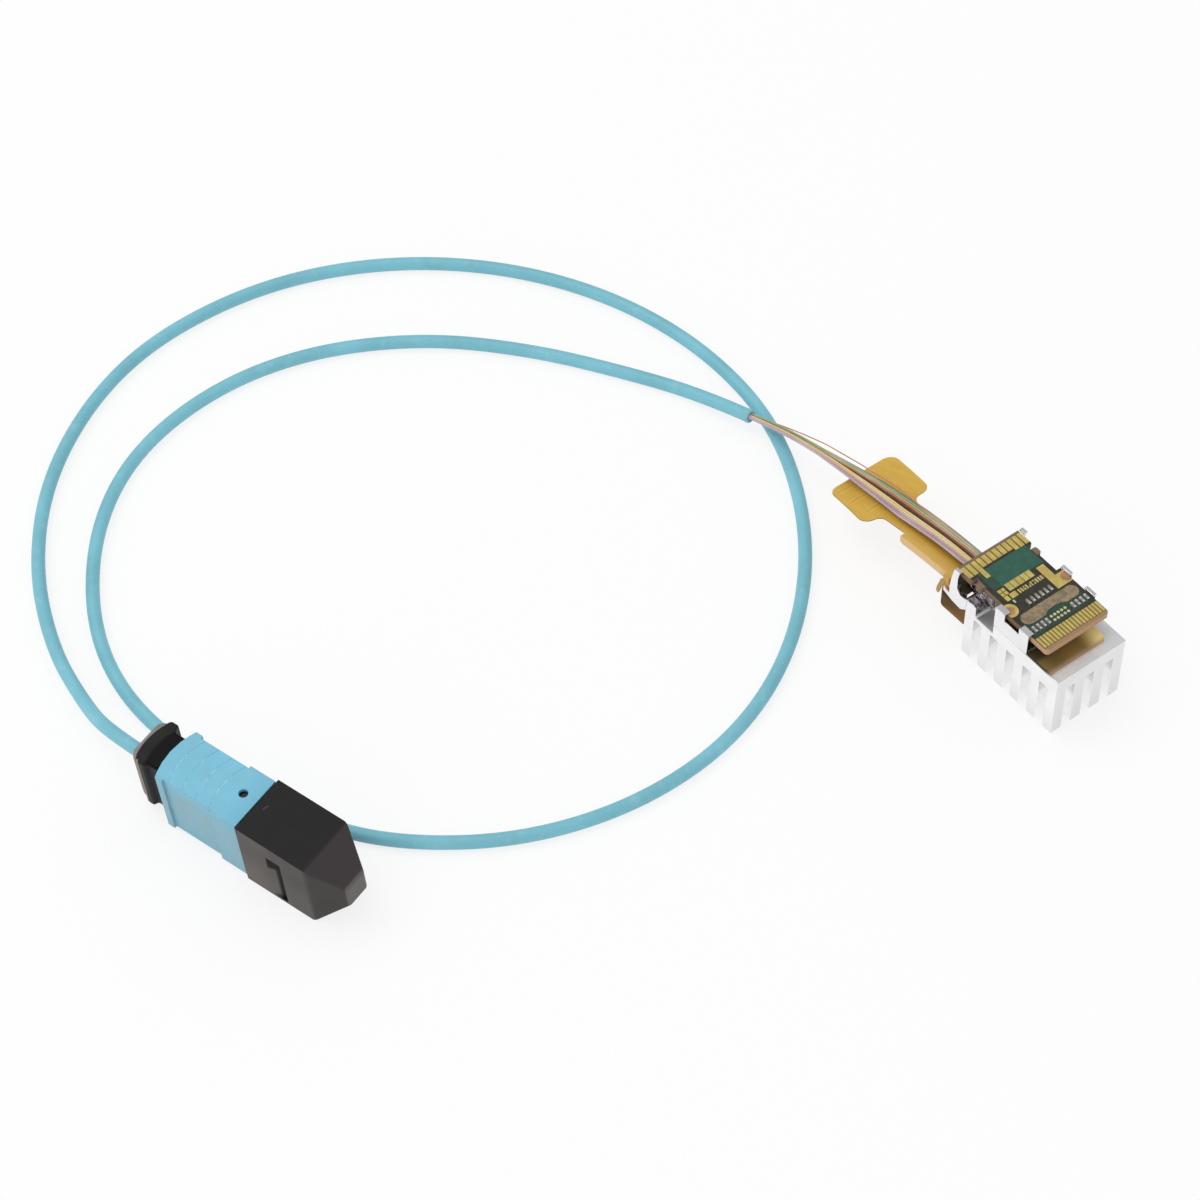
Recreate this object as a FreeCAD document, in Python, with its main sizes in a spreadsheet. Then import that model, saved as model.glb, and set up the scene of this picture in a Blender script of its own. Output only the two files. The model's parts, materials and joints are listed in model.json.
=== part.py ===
import FreeCAD, Part
import math
import os
import re

import Sketcher
from FreeCAD import Vector

# Optical engine on a pin-fin heat sink, its fibre cable and a twelve-fibre plug with a dust cap.
# Millimetres. The origin is on the floor under the middle of the heat sink.
# X runs to the board's front edge, Z is up. The plug has its own frame, on the end of the cable.

SIZES = {
    # Heat sink: plate over a grid of square pins, with a recess in each side for the lens block
    "sink_length": 16.75,
    "sink_width": 11.25,
    "sink_height": 9.9,
    "plate_thick": 2.4,
    "pin_long": 1.6,
    "pin_wide": 1.75,
    "pin_columns": 6,
    "pin_rows": 4,
    "recess_rear": 6.6,
    "recess_long": 3.2,
    "recess_deep": 1.8,
    "recess_wide": 2.6,
    # Film pull tab
    "film_thick": 0.15,
    "film_droop": 80.0,
    "film_strip": 6.0,
    "tongue_front": 7.15,
    "tongue_near": 5.3,
    "tongue_far": 3.9,
    "stem_near": 4.0,
    "stem_far": 0.95,
    "head_front": 26.6,
    "head_front_far": 26.2,
    "head_rear": 35.4,
    "head_near_rear": 4.9,
    "head_near_front": 6.5,
    "head_far_rear": 5.65,
    "head_far_front": 4.05,
    "wing_rear": 21.9,
    "wing_front": 13.2,
    "wing_edge": 4.75,
    "wing_drop": 1.2,
    "edge_corner": 0.5,
    "flap_front": 8.9,
    "flap_edge": 5.2,
    "flap_drop": 5.8,
    "film_corner": 1.4,
    # Circuit board
    "board_front": 5.5,
    "board_length": 16.7,
    "board_width": 10.2,
    "board_thick": 0.9,
    "board_lift": 2.13,
    "tail_long": 2.75,
    "tail_width": 10.0,
    "nick_long": 0.55,
    "nick_width": 8.3,
    "ear_long": 1.15,
    "waist_width": 8.9,
    "waist_front": 3.45,
    "board_corner": 0.5,
    # Copper and parts on the board
    "foil_thick": 0.04,
    "finger_count": 19,
    "finger_pitch": 0.53,
    "finger_wide": 0.37,
    "finger_long": 1.75,
    "finger_margin": 0.55,
    "pad_count": 12,
    "pad_pitch": 0.84,
    "pad_wide": 0.66,
    "pad_long": 1.5,
    "pad_margin": 0.43,
    "end_pad_extra": 0.37,
    "long_pad_extra": 1.65,
    "square_count": 5,
    "square_pitch": 0.83,
    "square_side": 0.74,
    "square_long": 1.18,
    "square_rear": 5.58,
    "square_shift": 0.28,
    "cluster_rear": 5.34,
    "cluster_near": 3.69,
    "cluster_long": 0.52,
    "cluster_wide": 0.46,
    "cluster_gap": 0.1,
    "key_rear": 4.1,
    "key_near": 2.85,
    "key_long": 0.8,
    "key_wide": 1.0,
    "corner_pad_rear": 5.2,
    "corner_pad_front": 1.05,
    "corner_pad_inner": 2.62,
    "corner_pad_wide": 1.15,
    "corner_pad_foot": 1.9,
    "disc_radius": 1.08,
    "disc_rear": 2.03,
    "disc_near": 4.45,
    "strip_rear": 0.75,
    "strip_long": 1.9,
    "strip_near": 4.43,
    "strip_far": 4.6,
    "strip_thick": 0.06,
    "via_radius": 0.2,
    "via_pitch": 0.56,
    "via_rows_apart": 0.66,
    "via_count": 5,
    "via_front": 1.68,
    "via_shift": 0.1,
    "chip_long": 0.92,
    "chip_wide": 0.34,
    "chip_tall": 0.3,
    "chip_pitch": 0.72,
    "middle_chip_rear": 1.68,
    "middle_chip_count": 6,
    "middle_chip_near": 1.79,
    "front_chip_front": 2.08,
    "front_chip_count": 4,
    "near_chip_start": 4.1,
    "far_chip_start": 2.2,
    # Side clip with folded tabs, and rear latch
    "clip_thick": 0.25,
    "clip_rear": 3.4,
    "clip_front": 2.6,
    "tab_long": 1.7,
    "tab_reach": 0.95,
    "far_tab_reach": 0.55,
    "latch_foot": 1.9,
    "latch_bend": 3.1,
    "latch_band": 1.0,
    # Parts under the board
    "die_long": 4.4,
    "die_wide": 4.0,
    "die_thick": 0.8,
    "die_rear": 2.6,
    "lens_front": 4.1,
    "lens_rear": 10.0,
    "lens_width": 8.8,
    "lens_well_deep": 0.6,
    "array_long": 0.5,
    "array_wide": 2.0,
    "array_thick": 0.2,
    "array_front": 5.2,
    "array_gap": 0.4,
    "clamp_long": 0.8,
    "clamp_width": 4.4,
    "clamp_tall": 1.5,
    # Cable
    "bundle_diameter": 1.25,
    "jacket_diameter": 1.8,
    # Plug: lengths are measured forwards from the dust cap's rear edge, along the plug's axis
    "plug_roll": 5.96,
    "cable_seat": 16.2,
    "cap_long": 10.5,
    "cap_wide": 8.2,
    "cap_tall": 11.5,
    "cap_nose": 4.0,
    "nose_wide": 3.1,
    "nose_tall": 3.6,
    "cap_roof": 1.2,
    "cap_pocket_rear": 4.3,
    "cap_pocket_long": 2.1,
    "cap_pocket_deep": 0.5,
    "cap_pocket_low": 5.2,
    "cap_pocket_high": 3.1,
    "fit_gap": 0.08,
    "rest_gap": 0.3,
    "housing_wide": 5.5,
    "housing_tall": 9.4,
    "housing_nose": 7.2,
    "housing_tail": 11.4,
    "sleeve_long": 12.3,
    "sleeve_wide": 7.0,
    "sleeve_tall": 10.7,
    "sleeve_band": 3.8,
    "sleeve_step": 0.36,
    "sleeve_lip": 1.0,
    "sleeve_bulge": 0.8,
    "sleeve_hole": 1.2,
    "sleeve_hole_back": 2.4,
    "groove_count": 4,
    "groove_pitch": 2.1,
    "groove_wide": 0.12,
    "groove_deep": 0.05,
    "sleeve_travel": 1.8,
    "channel_wide": 1.1,
    "channel_deep": 0.75,
    "channel_rear": 10.4,
    "channel_front": 3.9,
    "lug_long": 0.8,
    "small_coil": 0.6,
    "small_wire": 0.12,
    "small_turns": 9,
    "ferrule_wide": 2.5,
    "ferrule_tall": 6.4,
    "ferrule_tip": 0.4,
    "flange_wide": 3.1,
    "flange_tall": 7.2,
    "flange_long": 2.1,
    "shoulder": 1.0,
    "guide_hole": 0.7,
    "guide_apart": 4.6,
    "window_wide": 0.6,
    "window_tall": 3.2,
    "keeper_long": 1.5,
    "coil_diameter": 2.9,
    "coil_wire": 0.35,
    "coil_turns": 7,
    "push_front": 9.2,
    "push_flange": 1.6,
    "barrel_diameter": 3.2,
    "ring_long": 1.9,
    "ring_wall": 0.4,
    "boot_front": 13.1,
    "boot_rear": 17.3,
    "boot_rim": 16.4,
    "boot_flange": 1.1,
    "boot_wide": 6.8,
    "boot_tall": 9.4,
    "boot_waist_wide": 5.4,
    "boot_waist_tall": 9.3,
    "rim_wide": 5.4,
    "rim_tall": 8.4,
    "boot_bow": 0.8,
}

# Route of the fibre bundle, from the module's clamp to the jacket
BUNDLE_ROUTE = [
    (-10.8, -1.25, 11.2),
    (-15.2, -1.25, 11.2),
    (-21.5, -1.05, 9.95),
    (-28.2, -1.0, 8.5),
    (-34.9, -1.1, 6.95),
    (-41.4, -1.4, 5.35),
    (-47.8, -1.9, 3.8),
    (-53.5, -3.1, 2.6),
]

# Route of the jacket, from the fibres round one and a half turns to the plug
JACKET_ROUTE = [
    (-53.5, -3.1, 2.6),
    (-61.5, -4.78, 0.95),
    (-70.5, -10.0, 0.95),
    (-82.0, -17.8, 0.95),
    (-92.5, -28.0, 0.95),
    (-99.9, -41.5, 0.95),
    (-102.1, -55.8, 0.95),
    (-98.9, -70.5, 0.95),
    (-90.0, -82.3, 0.95),
    (-76.0, -91.2, 0.95),
    (-62.0, -93.6, 0.95),
    (-48.0, -90.2, 0.95),
    (-36.0, -86.3, 0.95),
    (-26.2, -79.2, 0.95),
    (-17.4, -66.6, 0.95),
    (-13.3, -51.3, 0.95),
    (-14.6, -35.5, 0.95),
    (-22.0, -20.9, 0.95),
    (-34.5, -8.7, 0.95),
    (-50.5, -0.6, 0.95),
    (-67.0, 0.9, 0.95),
    (-83.0, -2.9, 0.95),
    (-97.0, -11.5, 0.95),
    (-107.7, -24.0, 0.95),
    (-113.9, -39.0, 0.95),
    (-114.7, -55.5, 0.95),
    (-110.6, -69.0, 0.95),
    (-101.8, -81.8, 0.95),
    (-90.0, -91.0, 0.95),
    (-77.5, -96.3, 0.95),
    (-67.0, -98.0, 1.4),
    (-58.24, -99.506, 6.145),
    (-50.54, -97.34, 6.145),
]

doc = FreeCAD.newDocument("optical_cable")
sheet = doc.addObject("Spreadsheet::Sheet", "Sizes")
parts = []

# Two points closer than this are one
SAME_PLACE = 1e-4


def fill_sheet():
    """One row for each driving size: its name and its value."""
    for row, (name, value) in enumerate(SIZES.items(), start=1):
        sheet.set(f"A{row}", name)
        sheet.set(f"B{row}", str(value))
        sheet.setAlias(f"B{row}", name)
    doc.recompute()


def size(name):
    """Value of one size, as the sheet holds it."""
    return float(sheet.get(name))


def bound(formula):
    """Formula with every size name pointed at its cell."""
    def cell(word):
        return "Sizes." + word.group() if word.group() in SIZES else word.group()

    return re.sub(r"[a-z][a-z_]+", cell, formula)


def new_body(label, several=False):
    """Empty body for one sub-part. A group of like pieces holds several solids."""
    body = doc.addObject("PartDesign::Body", label)
    body.Label = label
    body.AllowCompound = several
    parts.append(body)
    return body


def origin_feature(body, role):
    """Plane or axis of a body's own origin."""
    return next(item for item in body.Origin.OriginFeatures if item.Role == role)


def new_sketch(body, name, plane, lift):
    """Empty sketch on one of the body's planes, lifted along that plane's normal."""
    sketch = body.newObject("Sketcher::SketchObject", f"{body.Label}_{name}")
    sketch.AttachmentSupport = [(origin_feature(body, plane), "")]
    sketch.MapMode = "FlatFace"
    sketch.setExpression("AttachmentOffset.Base.z", bound(lift))
    return sketch


def place_point(sketch, line, point, across, along):
    """Hold one point of a sketch at two formulas, measured from the origin."""
    for kind, formula in (("DistanceX", across), ("DistanceY", along)):
        row = sketch.addConstraint(Sketcher.Constraint(kind, -1, 1, line, point, 1.0))
        sketch.setExpression(f"Constraints[{row}]", bound(formula))


def polygon(body, name, plane, corners, lift="0"):
    """Sketch of a closed outline whose corners follow formulas."""
    sketch = new_sketch(body, name, plane, lift)
    count = len(corners)
    spokes = [Vector(math.cos(step * math.tau / count), math.sin(step * math.tau / count), 0)
              for step in range(count)]
    for step in range(count):
        sketch.addGeometry(Part.LineSegment(spokes[step], spokes[(step + 1) % count]))
    for step in range(count):
        sketch.addConstraint(Sketcher.Constraint("Coincident", step, 2, (step + 1) % count, 1))
    for step, (across, along) in enumerate(corners):
        place_point(sketch, step, 1, across, along)
    return sketch


def rectangle(body, name, plane, low, high, lift="0"):
    """Sketch of a rectangle between two corners given as formulas."""
    corners = [low, (high[0], low[1]), high, (low[0], high[1])]
    return polygon(body, name, plane, corners, lift)


def centred(body, name, plane, wide, tall, lift="0"):
    """Sketch of a rectangle about the origin."""
    low = (f"-({wide}) / 2", f"-({tall}) / 2")
    high = (f"({wide}) / 2", f"({tall}) / 2")
    return rectangle(body, name, plane, low, high, lift)


def circle(body, name, plane, radius, across="0", along="0", lift="0"):
    """Sketch of a circle with its centre and radius from formulas."""
    sketch = new_sketch(body, name, plane, lift)
    sketch.addGeometry(Part.Circle(Vector(0, 0, 0), Vector(0, 0, 1), 1.0))
    row = sketch.addConstraint(Sketcher.Constraint("Radius", 0, 1.0))
    sketch.setExpression(f"Constraints[{row}]", bound(radius))
    place_point(sketch, 0, 3, across, along)
    return sketch


def pad(body, sketch, length):
    """Solid from a sketch, along its normal."""
    feature = body.newObject("PartDesign::Pad", sketch.Name + "_pad")
    feature.Profile = sketch
    feature.setExpression("Length", bound(length))
    return feature


def pocket(body, sketch, length):
    """Cut from a sketch, along its normal."""
    feature = body.newObject("PartDesign::Pocket", sketch.Name + "_cut")
    feature.Profile = sketch
    feature.Reversed = True
    feature.setExpression("Length", bound(length))
    return feature


def loft(body, sketches):
    """Solid with straight sides from the first sketch to the last."""
    feature = body.newObject("PartDesign::AdditiveLoft", sketches[0].Name + "_loft")
    feature.Profile = sketches[0]
    feature.Sections = sketches[1:]
    feature.Ruled = True
    return feature


def repeat(body, features, axis, count, length):
    """Row of copies of some features along an axis of the body."""
    row = body.newObject("PartDesign::LinearPattern", features[0].Name + "_row")
    row.Originals = features
    row.Direction = (origin_feature(body, axis), [""])
    row.setExpression("Occurrences", bound(count))
    row.setExpression("Length", bound(length))
    body.Tip = row
    return row


def mirror(body, features, plane):
    """Second set of features, on the other side of a plane of the body."""
    pair = body.newObject("PartDesign::Mirrored", features[0].Name + "_pair")
    pair.Originals = features
    pair.MirrorPlane = (origin_feature(body, plane), [""])
    body.Tip = pair
    return pair


def round_upright(body, radius, wanted):
    """Fillet on the upright edges that pass a test on their place."""
    doc.recompute()
    base = body.Tip
    names = []
    for number, edge in enumerate(base.Shape.Edges, start=1):
        first = edge.Vertexes[0].Point
        last = edge.Vertexes[-1].Point
        if math.hypot(last.x - first.x, last.y - first.y) < SAME_PLACE and wanted(first):
            names.append(f"Edge{number}")
    feature = body.newObject("PartDesign::Fillet", body.Label + "_round")
    feature.Base = (base, names)
    feature.setExpression("Radius", bound(radius))


def free_shape(label, shape):
    """Sub-part whose shape is worked out from the sheet's values."""
    feature = doc.addObject("Part::Feature", label)
    feature.Label = label
    feature.Shape = shape
    parts.append(feature)
    return feature


# Formulas that several pieces share
PLATE_BOTTOM = "(sink_height - plate_thick)"
BOARD_BOTTOM = "(sink_height + board_lift)"
BOARD_TOP = "(sink_height + board_lift + board_thick)"
TAB_SEAT = "(sink_height + board_lift + board_thick + foil_thick)"
BOARD_REAR = "board_front - board_length"
FLOOR = "(sink_height + film_thick)"
SIDE = "sink_width / 2"
REAR = "sink_length / 2"
LUG_FRONT = "-channel_front - fit_gap"
FLANGE_FRONT = "shoulder - fit_gap"
KEEPER_REAR = "shoulder - fit_gap - flange_long - keeper_long"
RING_RADIUS = "(barrel_diameter / 2 + ring_wall)"


def heat_sink():
    """Block with two crossing sets of slots from below, which leave the pins."""
    body = new_body("heat_sink")
    pad(body, centred(body, "block", "XY_Plane", "sink_length", "sink_width"), "sink_height")
    across = "(sink_width - pin_wide) / (pin_rows - 1)"
    slot = rectangle(body, "long_slot", "XY_Plane",
                     (f"-{REAR}", f"-{SIDE} + pin_wide"), (REAR, f"-{SIDE} + {across}"))
    repeat(body, [pocket(body, slot, PLATE_BOTTOM)], "Y_Axis", "pin_rows - 1", f"{across} * (pin_rows - 2)")
    along = "(sink_length - pin_long) / (pin_columns - 1)"
    slot = rectangle(body, "cross_slot", "XY_Plane",
                     (f"-{REAR} + pin_long", f"-{SIDE}"), (f"-{REAR} + {along}", SIDE))
    repeat(body, [pocket(body, slot, PLATE_BOTTOM)], "X_Axis", "pin_columns - 1",
           f"{along} * (pin_columns - 2)")
    recess = rectangle(body, "recess", "XY_Plane", ("-recess_rear", f"-{SIDE}"),
                       ("-recess_rear + recess_long", f"-{SIDE} + recess_wide"),
                       "sink_height - recess_deep")
    mirror(body, [pocket(body, recess, "recess_deep")], "XZ_Plane")


def rounded_face(corners):
    """Flat face through corners (x, y, radius), with an arc at each rounded corner."""
    points = [Vector(x, y, 0) for x, y, _ in corners]
    count = len(points)
    arcs = []
    ends = []
    for step, (_, _, radius) in enumerate(corners):
        before = (points[step - 1] - points[step]).normalize()
        after = (points[(step + 1) % count] - points[step]).normalize()
        half = before.getAngle(after) / 2
        reach = radius / math.tan(half)
        first = points[step] + before * reach
        last = points[step] + after * reach
        ends.append((first, last))
        if radius > 0:
            middle = points[step] + (before + after).normalize() * (radius / math.sin(half) - radius)
            arcs.append(Part.Arc(first, middle, last).toShape())
    lines = [Part.LineSegment(ends[step - 1][1], ends[step][0]).toShape() for step in range(count)]
    return Part.Face(Part.Wire(Part.__sortEdges__(arcs + lines)))


def film_blank():
    """Outline of the film seen from above: tongue, strip, flap, wing, stem and head."""
    corner = size("film_corner")
    rear = -size("sink_length") / 2
    strip = size("film_strip") / 2
    tongue_rear = size("clip_front") + size("fit_gap")
    return rounded_face([
        (size("tongue_front"), -size("tongue_near"), corner / 2),
        (size("tongue_front"), size("tongue_far"), corner),
        (tongue_rear, size("tongue_far"), 0),
        (tongue_rear, strip, 0),
        (rear, strip, 0),
        (rear - 2 * corner, size("stem_far"), corner),
        (-size("head_front_far"), size("stem_far"), corner),
        (-size("head_front_far"), size("head_far_front"), corner),
        (-size("head_rear"), size("head_far_rear"), corner),
        (-size("head_rear"), -size("head_near_rear"), corner),
        (-size("head_front"), -size("head_near_front"), corner),
        (-size("head_front"), -size("stem_near"), corner * 0.8),
        (-size("wing_rear"), -size("stem_near"), 0),
        (-size("wing_rear"), -size("wing_edge"), 0),
        (-size("wing_front"), -size("wing_edge"), 0),
        (-size("wing_front"), -size("flap_edge"), 0),
        (-size("flap_front"), -size("flap_edge"), 0),
        (-size("flap_front"), -strip, 0),
        (tongue_rear, -strip, 0),
        (tongue_rear, -size("tongue_near"), 0),
    ])


def film_profile(depth):
    """Side view of the film, or of an edge turned down: flat on the sink, then drooping behind it."""
    high = size("sink_height") + size("film_thick")
    low = high - depth
    front = size("tongue_front")
    rear = -size("sink_length") / 2
    outer = size("film_droop")
    inner = outer - depth
    centre = Vector(rear, 0, high - outer)
    turn = math.asin((size("head_rear") + rear) / inner)

    def on_arc(radius, share):
        return centre + Vector(-radius * math.sin(turn * share), 0, radius * math.cos(turn * share))

    edges = [
        Part.LineSegment(Vector(front, 0, low), Vector(rear, 0, low)),
        Part.Arc(on_arc(inner, 0), on_arc(inner, 0.5), on_arc(inner, 1)),
        Part.LineSegment(on_arc(inner, 1), on_arc(outer, 1)),
        Part.Arc(on_arc(outer, 1), on_arc(outer, 0.5), on_arc(outer, 0)),
        Part.LineSegment(Vector(rear, 0, high), Vector(front, 0, high)),
        Part.LineSegment(Vector(front, 0, high), Vector(front, 0, low)),
    ]
    return Part.Face(Part.Wire([edge.toShape() for edge in edges]))


def film_edge(rear, front, edge, drop):
    """Strip of film turned down along the near edge, with its lower rear corner rounded."""
    strip = film_profile(drop).extrude(Vector(0, size("film_thick"), 0))
    strip.translate(Vector(0, -edge, 0))
    stretch = Part.makeBox(rear - front, 2 * edge, 2 * size("sink_height"), Vector(-rear, -edge, 0))
    strip = strip.common(stretch)
    low = strip.BoundBox.Center.z
    behind = [edge for edge in strip.Edges if edge.BoundBox.XMax < SAME_PLACE - rear]
    return strip.makeFillet(size("edge_corner"), [edge for edge in behind if edge.BoundBox.ZMax < low])


def pull_tab():
    """Film cut to its blank, with a window for the thermal pad and two edges turned down."""
    wide = size("sink_width")
    bent = film_profile(size("film_thick")).extrude(Vector(0, 2 * wide, 0))
    bent.translate(Vector(0, -wide, 0))
    film = bent.common(film_blank().extrude(Vector(0, 0, 2 * size("sink_height"))))
    gap = size("fit_gap")
    window = Part.makeBox(size("die_long") + 2 * gap, size("die_wide") + 2 * gap, 2 * size("sink_height"),
                          Vector(-size("die_rear") - gap, -size("die_wide") / 2 - gap, 0))
    wing = film_edge(size("wing_rear"), size("wing_front"), size("wing_edge"), size("wing_drop"))
    flap = film_edge(size("wing_front"), size("flap_front"), size("flap_edge"), size("flap_drop"))
    free_shape("pull_tab", film.cut(window).fuse([wing, flap]).removeSplitter())


def folded_tabs(body, name, rear, front, near_reach):
    """Tab folded over the board's near edge, and a short one over its far edge."""
    near = rectangle(body, f"{name}_near_tab", "XY_Plane", (rear, f"-{SIDE}"),
                     (front, f"-{SIDE} + {near_reach}"), TAB_SEAT)
    pad(body, near, "clip_thick")
    far = rectangle(body, f"{name}_far_tab", "XY_Plane", (rear, f"{SIDE} - far_tab_reach"),
                    (front, SIDE), TAB_SEAT)
    pad(body, far, "clip_thick")


def retaining_clip():
    """Stamped channel on the heat sink: floor, two walls and four tabs folded over the board."""
    body = new_body("retaining_clip")
    floor = rectangle(body, "floor", "XY_Plane", ("-clip_rear", f"-{SIDE}"), ("clip_front", SIDE), FLOOR)
    pad(body, floor, "clip_thick")
    window = rectangle(body, "window", "XY_Plane", ("-die_rear - fit_gap", "-die_wide / 2 - fit_gap"),
                       ("-die_rear + die_long + fit_gap", "die_wide / 2 + fit_gap"), FLOOR)
    pocket(body, window, "clip_thick")
    wall = rectangle(body, "wall", "XY_Plane", ("-clip_rear", f"-{SIDE}"),
                     ("clip_front", f"-{SIDE} + clip_thick"), "sink_height")
    sides = [pad(body, wall, "board_lift")]
    tabs = {"rear": "-clip_rear", "front": "clip_front - tab_long"}
    for name, rear in tabs.items():
        post = rectangle(body, f"{name}_post", "XY_Plane", (rear, f"-{SIDE}"),
                         (f"{rear} + tab_long", f"-{SIDE} + clip_thick"), BOARD_BOTTOM)
        sides.append(pad(body, post, "board_thick + foil_thick + clip_thick"))
    mirror(body, sides, "XZ_Plane")
    for name, rear in tabs.items():
        folded_tabs(body, name, rear, f"{rear} + tab_long", "tab_reach")


def rear_latch():
    """Spring strip on the heat sink's rear face, with a forked arm on each side of the board's tail."""
    body = new_body("rear_latch")
    top = "sink_height - fit_gap"
    bend = f"-{REAR} - latch_bend"
    tail = f"{bend} - 1.1 * latch_band"
    foot = rectangle(body, "foot", "XY_Plane", (f"-{REAR} - clip_thick", f"-{SIDE}"), (f"-{REAR}", SIDE),
                     f"{top} - latch_foot")
    pad(body, foot, "latch_foot")
    fork = polygon(body, "fork", "XZ_Plane", [
        (f"-{REAR}", f"{top} - 0.2 * latch_band"),
        (f"-{REAR} - 1.2 * latch_band", f"{top} - 0.3 * latch_band"),
        (f"{bend} + 1.25 * latch_band", f"{top} + 0.45 * latch_band"),
        (f"{bend} + 1.2 * latch_band", f"{top} + 2.2 * latch_band"),
        (f"{bend} + 1.4 * latch_band", f"{TAB_SEAT} + clip_thick"),
        (f"{bend} + 0.45 * latch_band", f"{TAB_SEAT} + clip_thick"),
        (f"{bend} + 0.1 * latch_band", f"{top} + 1.6 * latch_band"),
        (f"{bend} - 0.1 * latch_band", f"{top} - 0.3 * latch_band"),
        (bend, f"{top} - 1.45 * latch_band"),
        (f"{bend} - 0.4 * latch_band", f"{top} - 1.55 * latch_band"),
        (tail, f"{top} - 1.15 * latch_band"),
        (tail, f"{top} - 1.95 * latch_band"),
        (f"{bend} + 0.55 * latch_band", f"{top} - 2.45 * latch_band"),
        (f"-{REAR} - 0.9 * latch_band", f"{top} - 2.6 * latch_band"),
        (f"-{REAR}", f"{top} - latch_foot"),
    ], f"{SIDE} - clip_thick")
    mirror(body, [pad(body, fork, "clip_thick")], "XZ_Plane")
    folded_tabs(body, "arm", f"{bend} + 0.45 * latch_band", f"{bend} + 1.4 * latch_band", "far_tab_reach")


def circuit_board():
    """Board with a card edge in front and a waisted tail with contacts behind."""
    body = new_body("circuit_board")
    nick = f"{BOARD_REAR} + tail_long"
    ear = f"{nick} + nick_long"
    waist = f"{ear} + ear_long"
    half = [
        ("board_front", "board_width / 2"),
        ("-waist_front", "board_width / 2"),
        ("-waist_front", "waist_width / 2"),
        (waist, "waist_width / 2"),
        (waist, "tail_width / 2"),
        (ear, "tail_width / 2"),
        (ear, "nick_width / 2"),
        (nick, "nick_width / 2"),
        (nick, "tail_width / 2"),
        (BOARD_REAR, "tail_width / 2"),
    ]
    other = [(along, f"-{across}") for along, across in reversed(half)]
    pad(body, polygon(body, "outline", "XY_Plane", half + other, BOARD_BOTTOM), "board_thick")
    front = size("board_front")
    round_upright(body, "board_corner", lambda place: place.x > front - size("board_corner"))
    rear = front - size("board_length") + size("tail_long") - SAME_PLACE
    side = size("tail_width") / 2
    round_upright(body, "board_corner * 0.7",
                  lambda place: rear < place.x < 0 and abs(abs(place.y) - side) < SAME_PLACE)


def front_contacts():
    """Card-edge fingers on both faces of the board."""
    body = new_body("front_contacts", several=True)
    start = "-finger_pitch * (finger_count - 1) / 2"
    low = ("board_front - finger_margin - finger_long", f"{start} - finger_wide / 2")
    high = ("board_front - finger_margin", f"{start} + finger_wide / 2")
    faces = []
    for name, lift in (("upper", BOARD_TOP), ("lower", f"{BOARD_BOTTOM} - foil_thick")):
        faces.append(pad(body, rectangle(body, name, "XY_Plane", low, high, lift), "foil_thick"))
    repeat(body, faces, "Y_Axis", "finger_count", "finger_pitch * (finger_count - 1)")


def rear_contacts():
    """Row of pads along the board's rear edge, longer at both ends. The third one runs on as a track."""
    body = new_body("rear_contacts", several=True)
    start = "-pad_pitch * (pad_count - 1) / 2"
    rear = f"{BOARD_REAR} + pad_margin"
    one = rectangle(body, "pad", "XY_Plane", (rear, f"{start} - pad_wide / 2"),
                    (f"{rear} + pad_long", f"{start} + pad_wide / 2"), BOARD_TOP)
    repeat(body, [pad(body, one, "foil_thick")], "Y_Axis", "pad_count", "pad_pitch * (pad_count - 1)")
    for name, first, count in (("near_end", "0", "2"), ("far_end", "pad_count - 3", "3")):
        across = f"{start} + ({first}) * pad_pitch"
        end = rectangle(body, name, "XY_Plane", (f"{rear} + pad_long / 2", f"{across} - pad_wide / 2"),
                        (f"{rear} + pad_long + end_pad_extra", f"{across} + pad_wide / 2"), BOARD_TOP)
        repeat(body, [pad(body, end, "foil_thick")], "Y_Axis", count, f"pad_pitch * ({count} - 1)")
    track = rectangle(body, "track", "XY_Plane",
                      (f"{rear} + pad_long / 2", f"{start} + 2 * pad_pitch - pad_wide / 2"),
                      (f"{rear} + pad_long + long_pad_extra", f"{start} + 2 * pad_pitch + pad_wide / 2"),
                      BOARD_TOP)
    pad(body, track, "foil_thick")


def bond_pads():
    """Row of square pads across the middle of the board, with a cluster of four and two keys beside it."""
    body = new_body("bond_pads", several=True)
    start = "-square_shift - square_pitch * (square_count - 1) / 2 - square_side / 2"
    one = rectangle(body, "square", "XY_Plane", ("-square_rear", start),
                    ("-square_rear + square_long", f"{start} + square_side"), BOARD_TOP)
    repeat(body, [pad(body, one, "foil_thick")], "Y_Axis", "square_count",
           "square_pitch * (square_count - 1)")
    pair = []
    for name, along in (("cluster_back", "-cluster_rear"),
                        ("cluster_front", "-cluster_rear + cluster_long + cluster_gap")):
        small = rectangle(body, name, "XY_Plane", (along, "-cluster_near"),
                          (f"{along} + cluster_long", "-cluster_near + cluster_wide"), BOARD_TOP)
        pair.append(pad(body, small, "foil_thick"))
    repeat(body, pair, "Y_Axis", "2", "cluster_wide + cluster_gap")
    for name, near, wide in (("key", "-key_near", "key_wide"),
                             ("short_key", "-cluster_near", "key_wide * 0.6")):
        key = rectangle(body, name, "XY_Plane", ("-key_rear", near),
                        ("-key_rear + key_long", f"{near} + {wide}"), BOARD_TOP)
        pad(body, key, "foil_thick")


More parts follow.
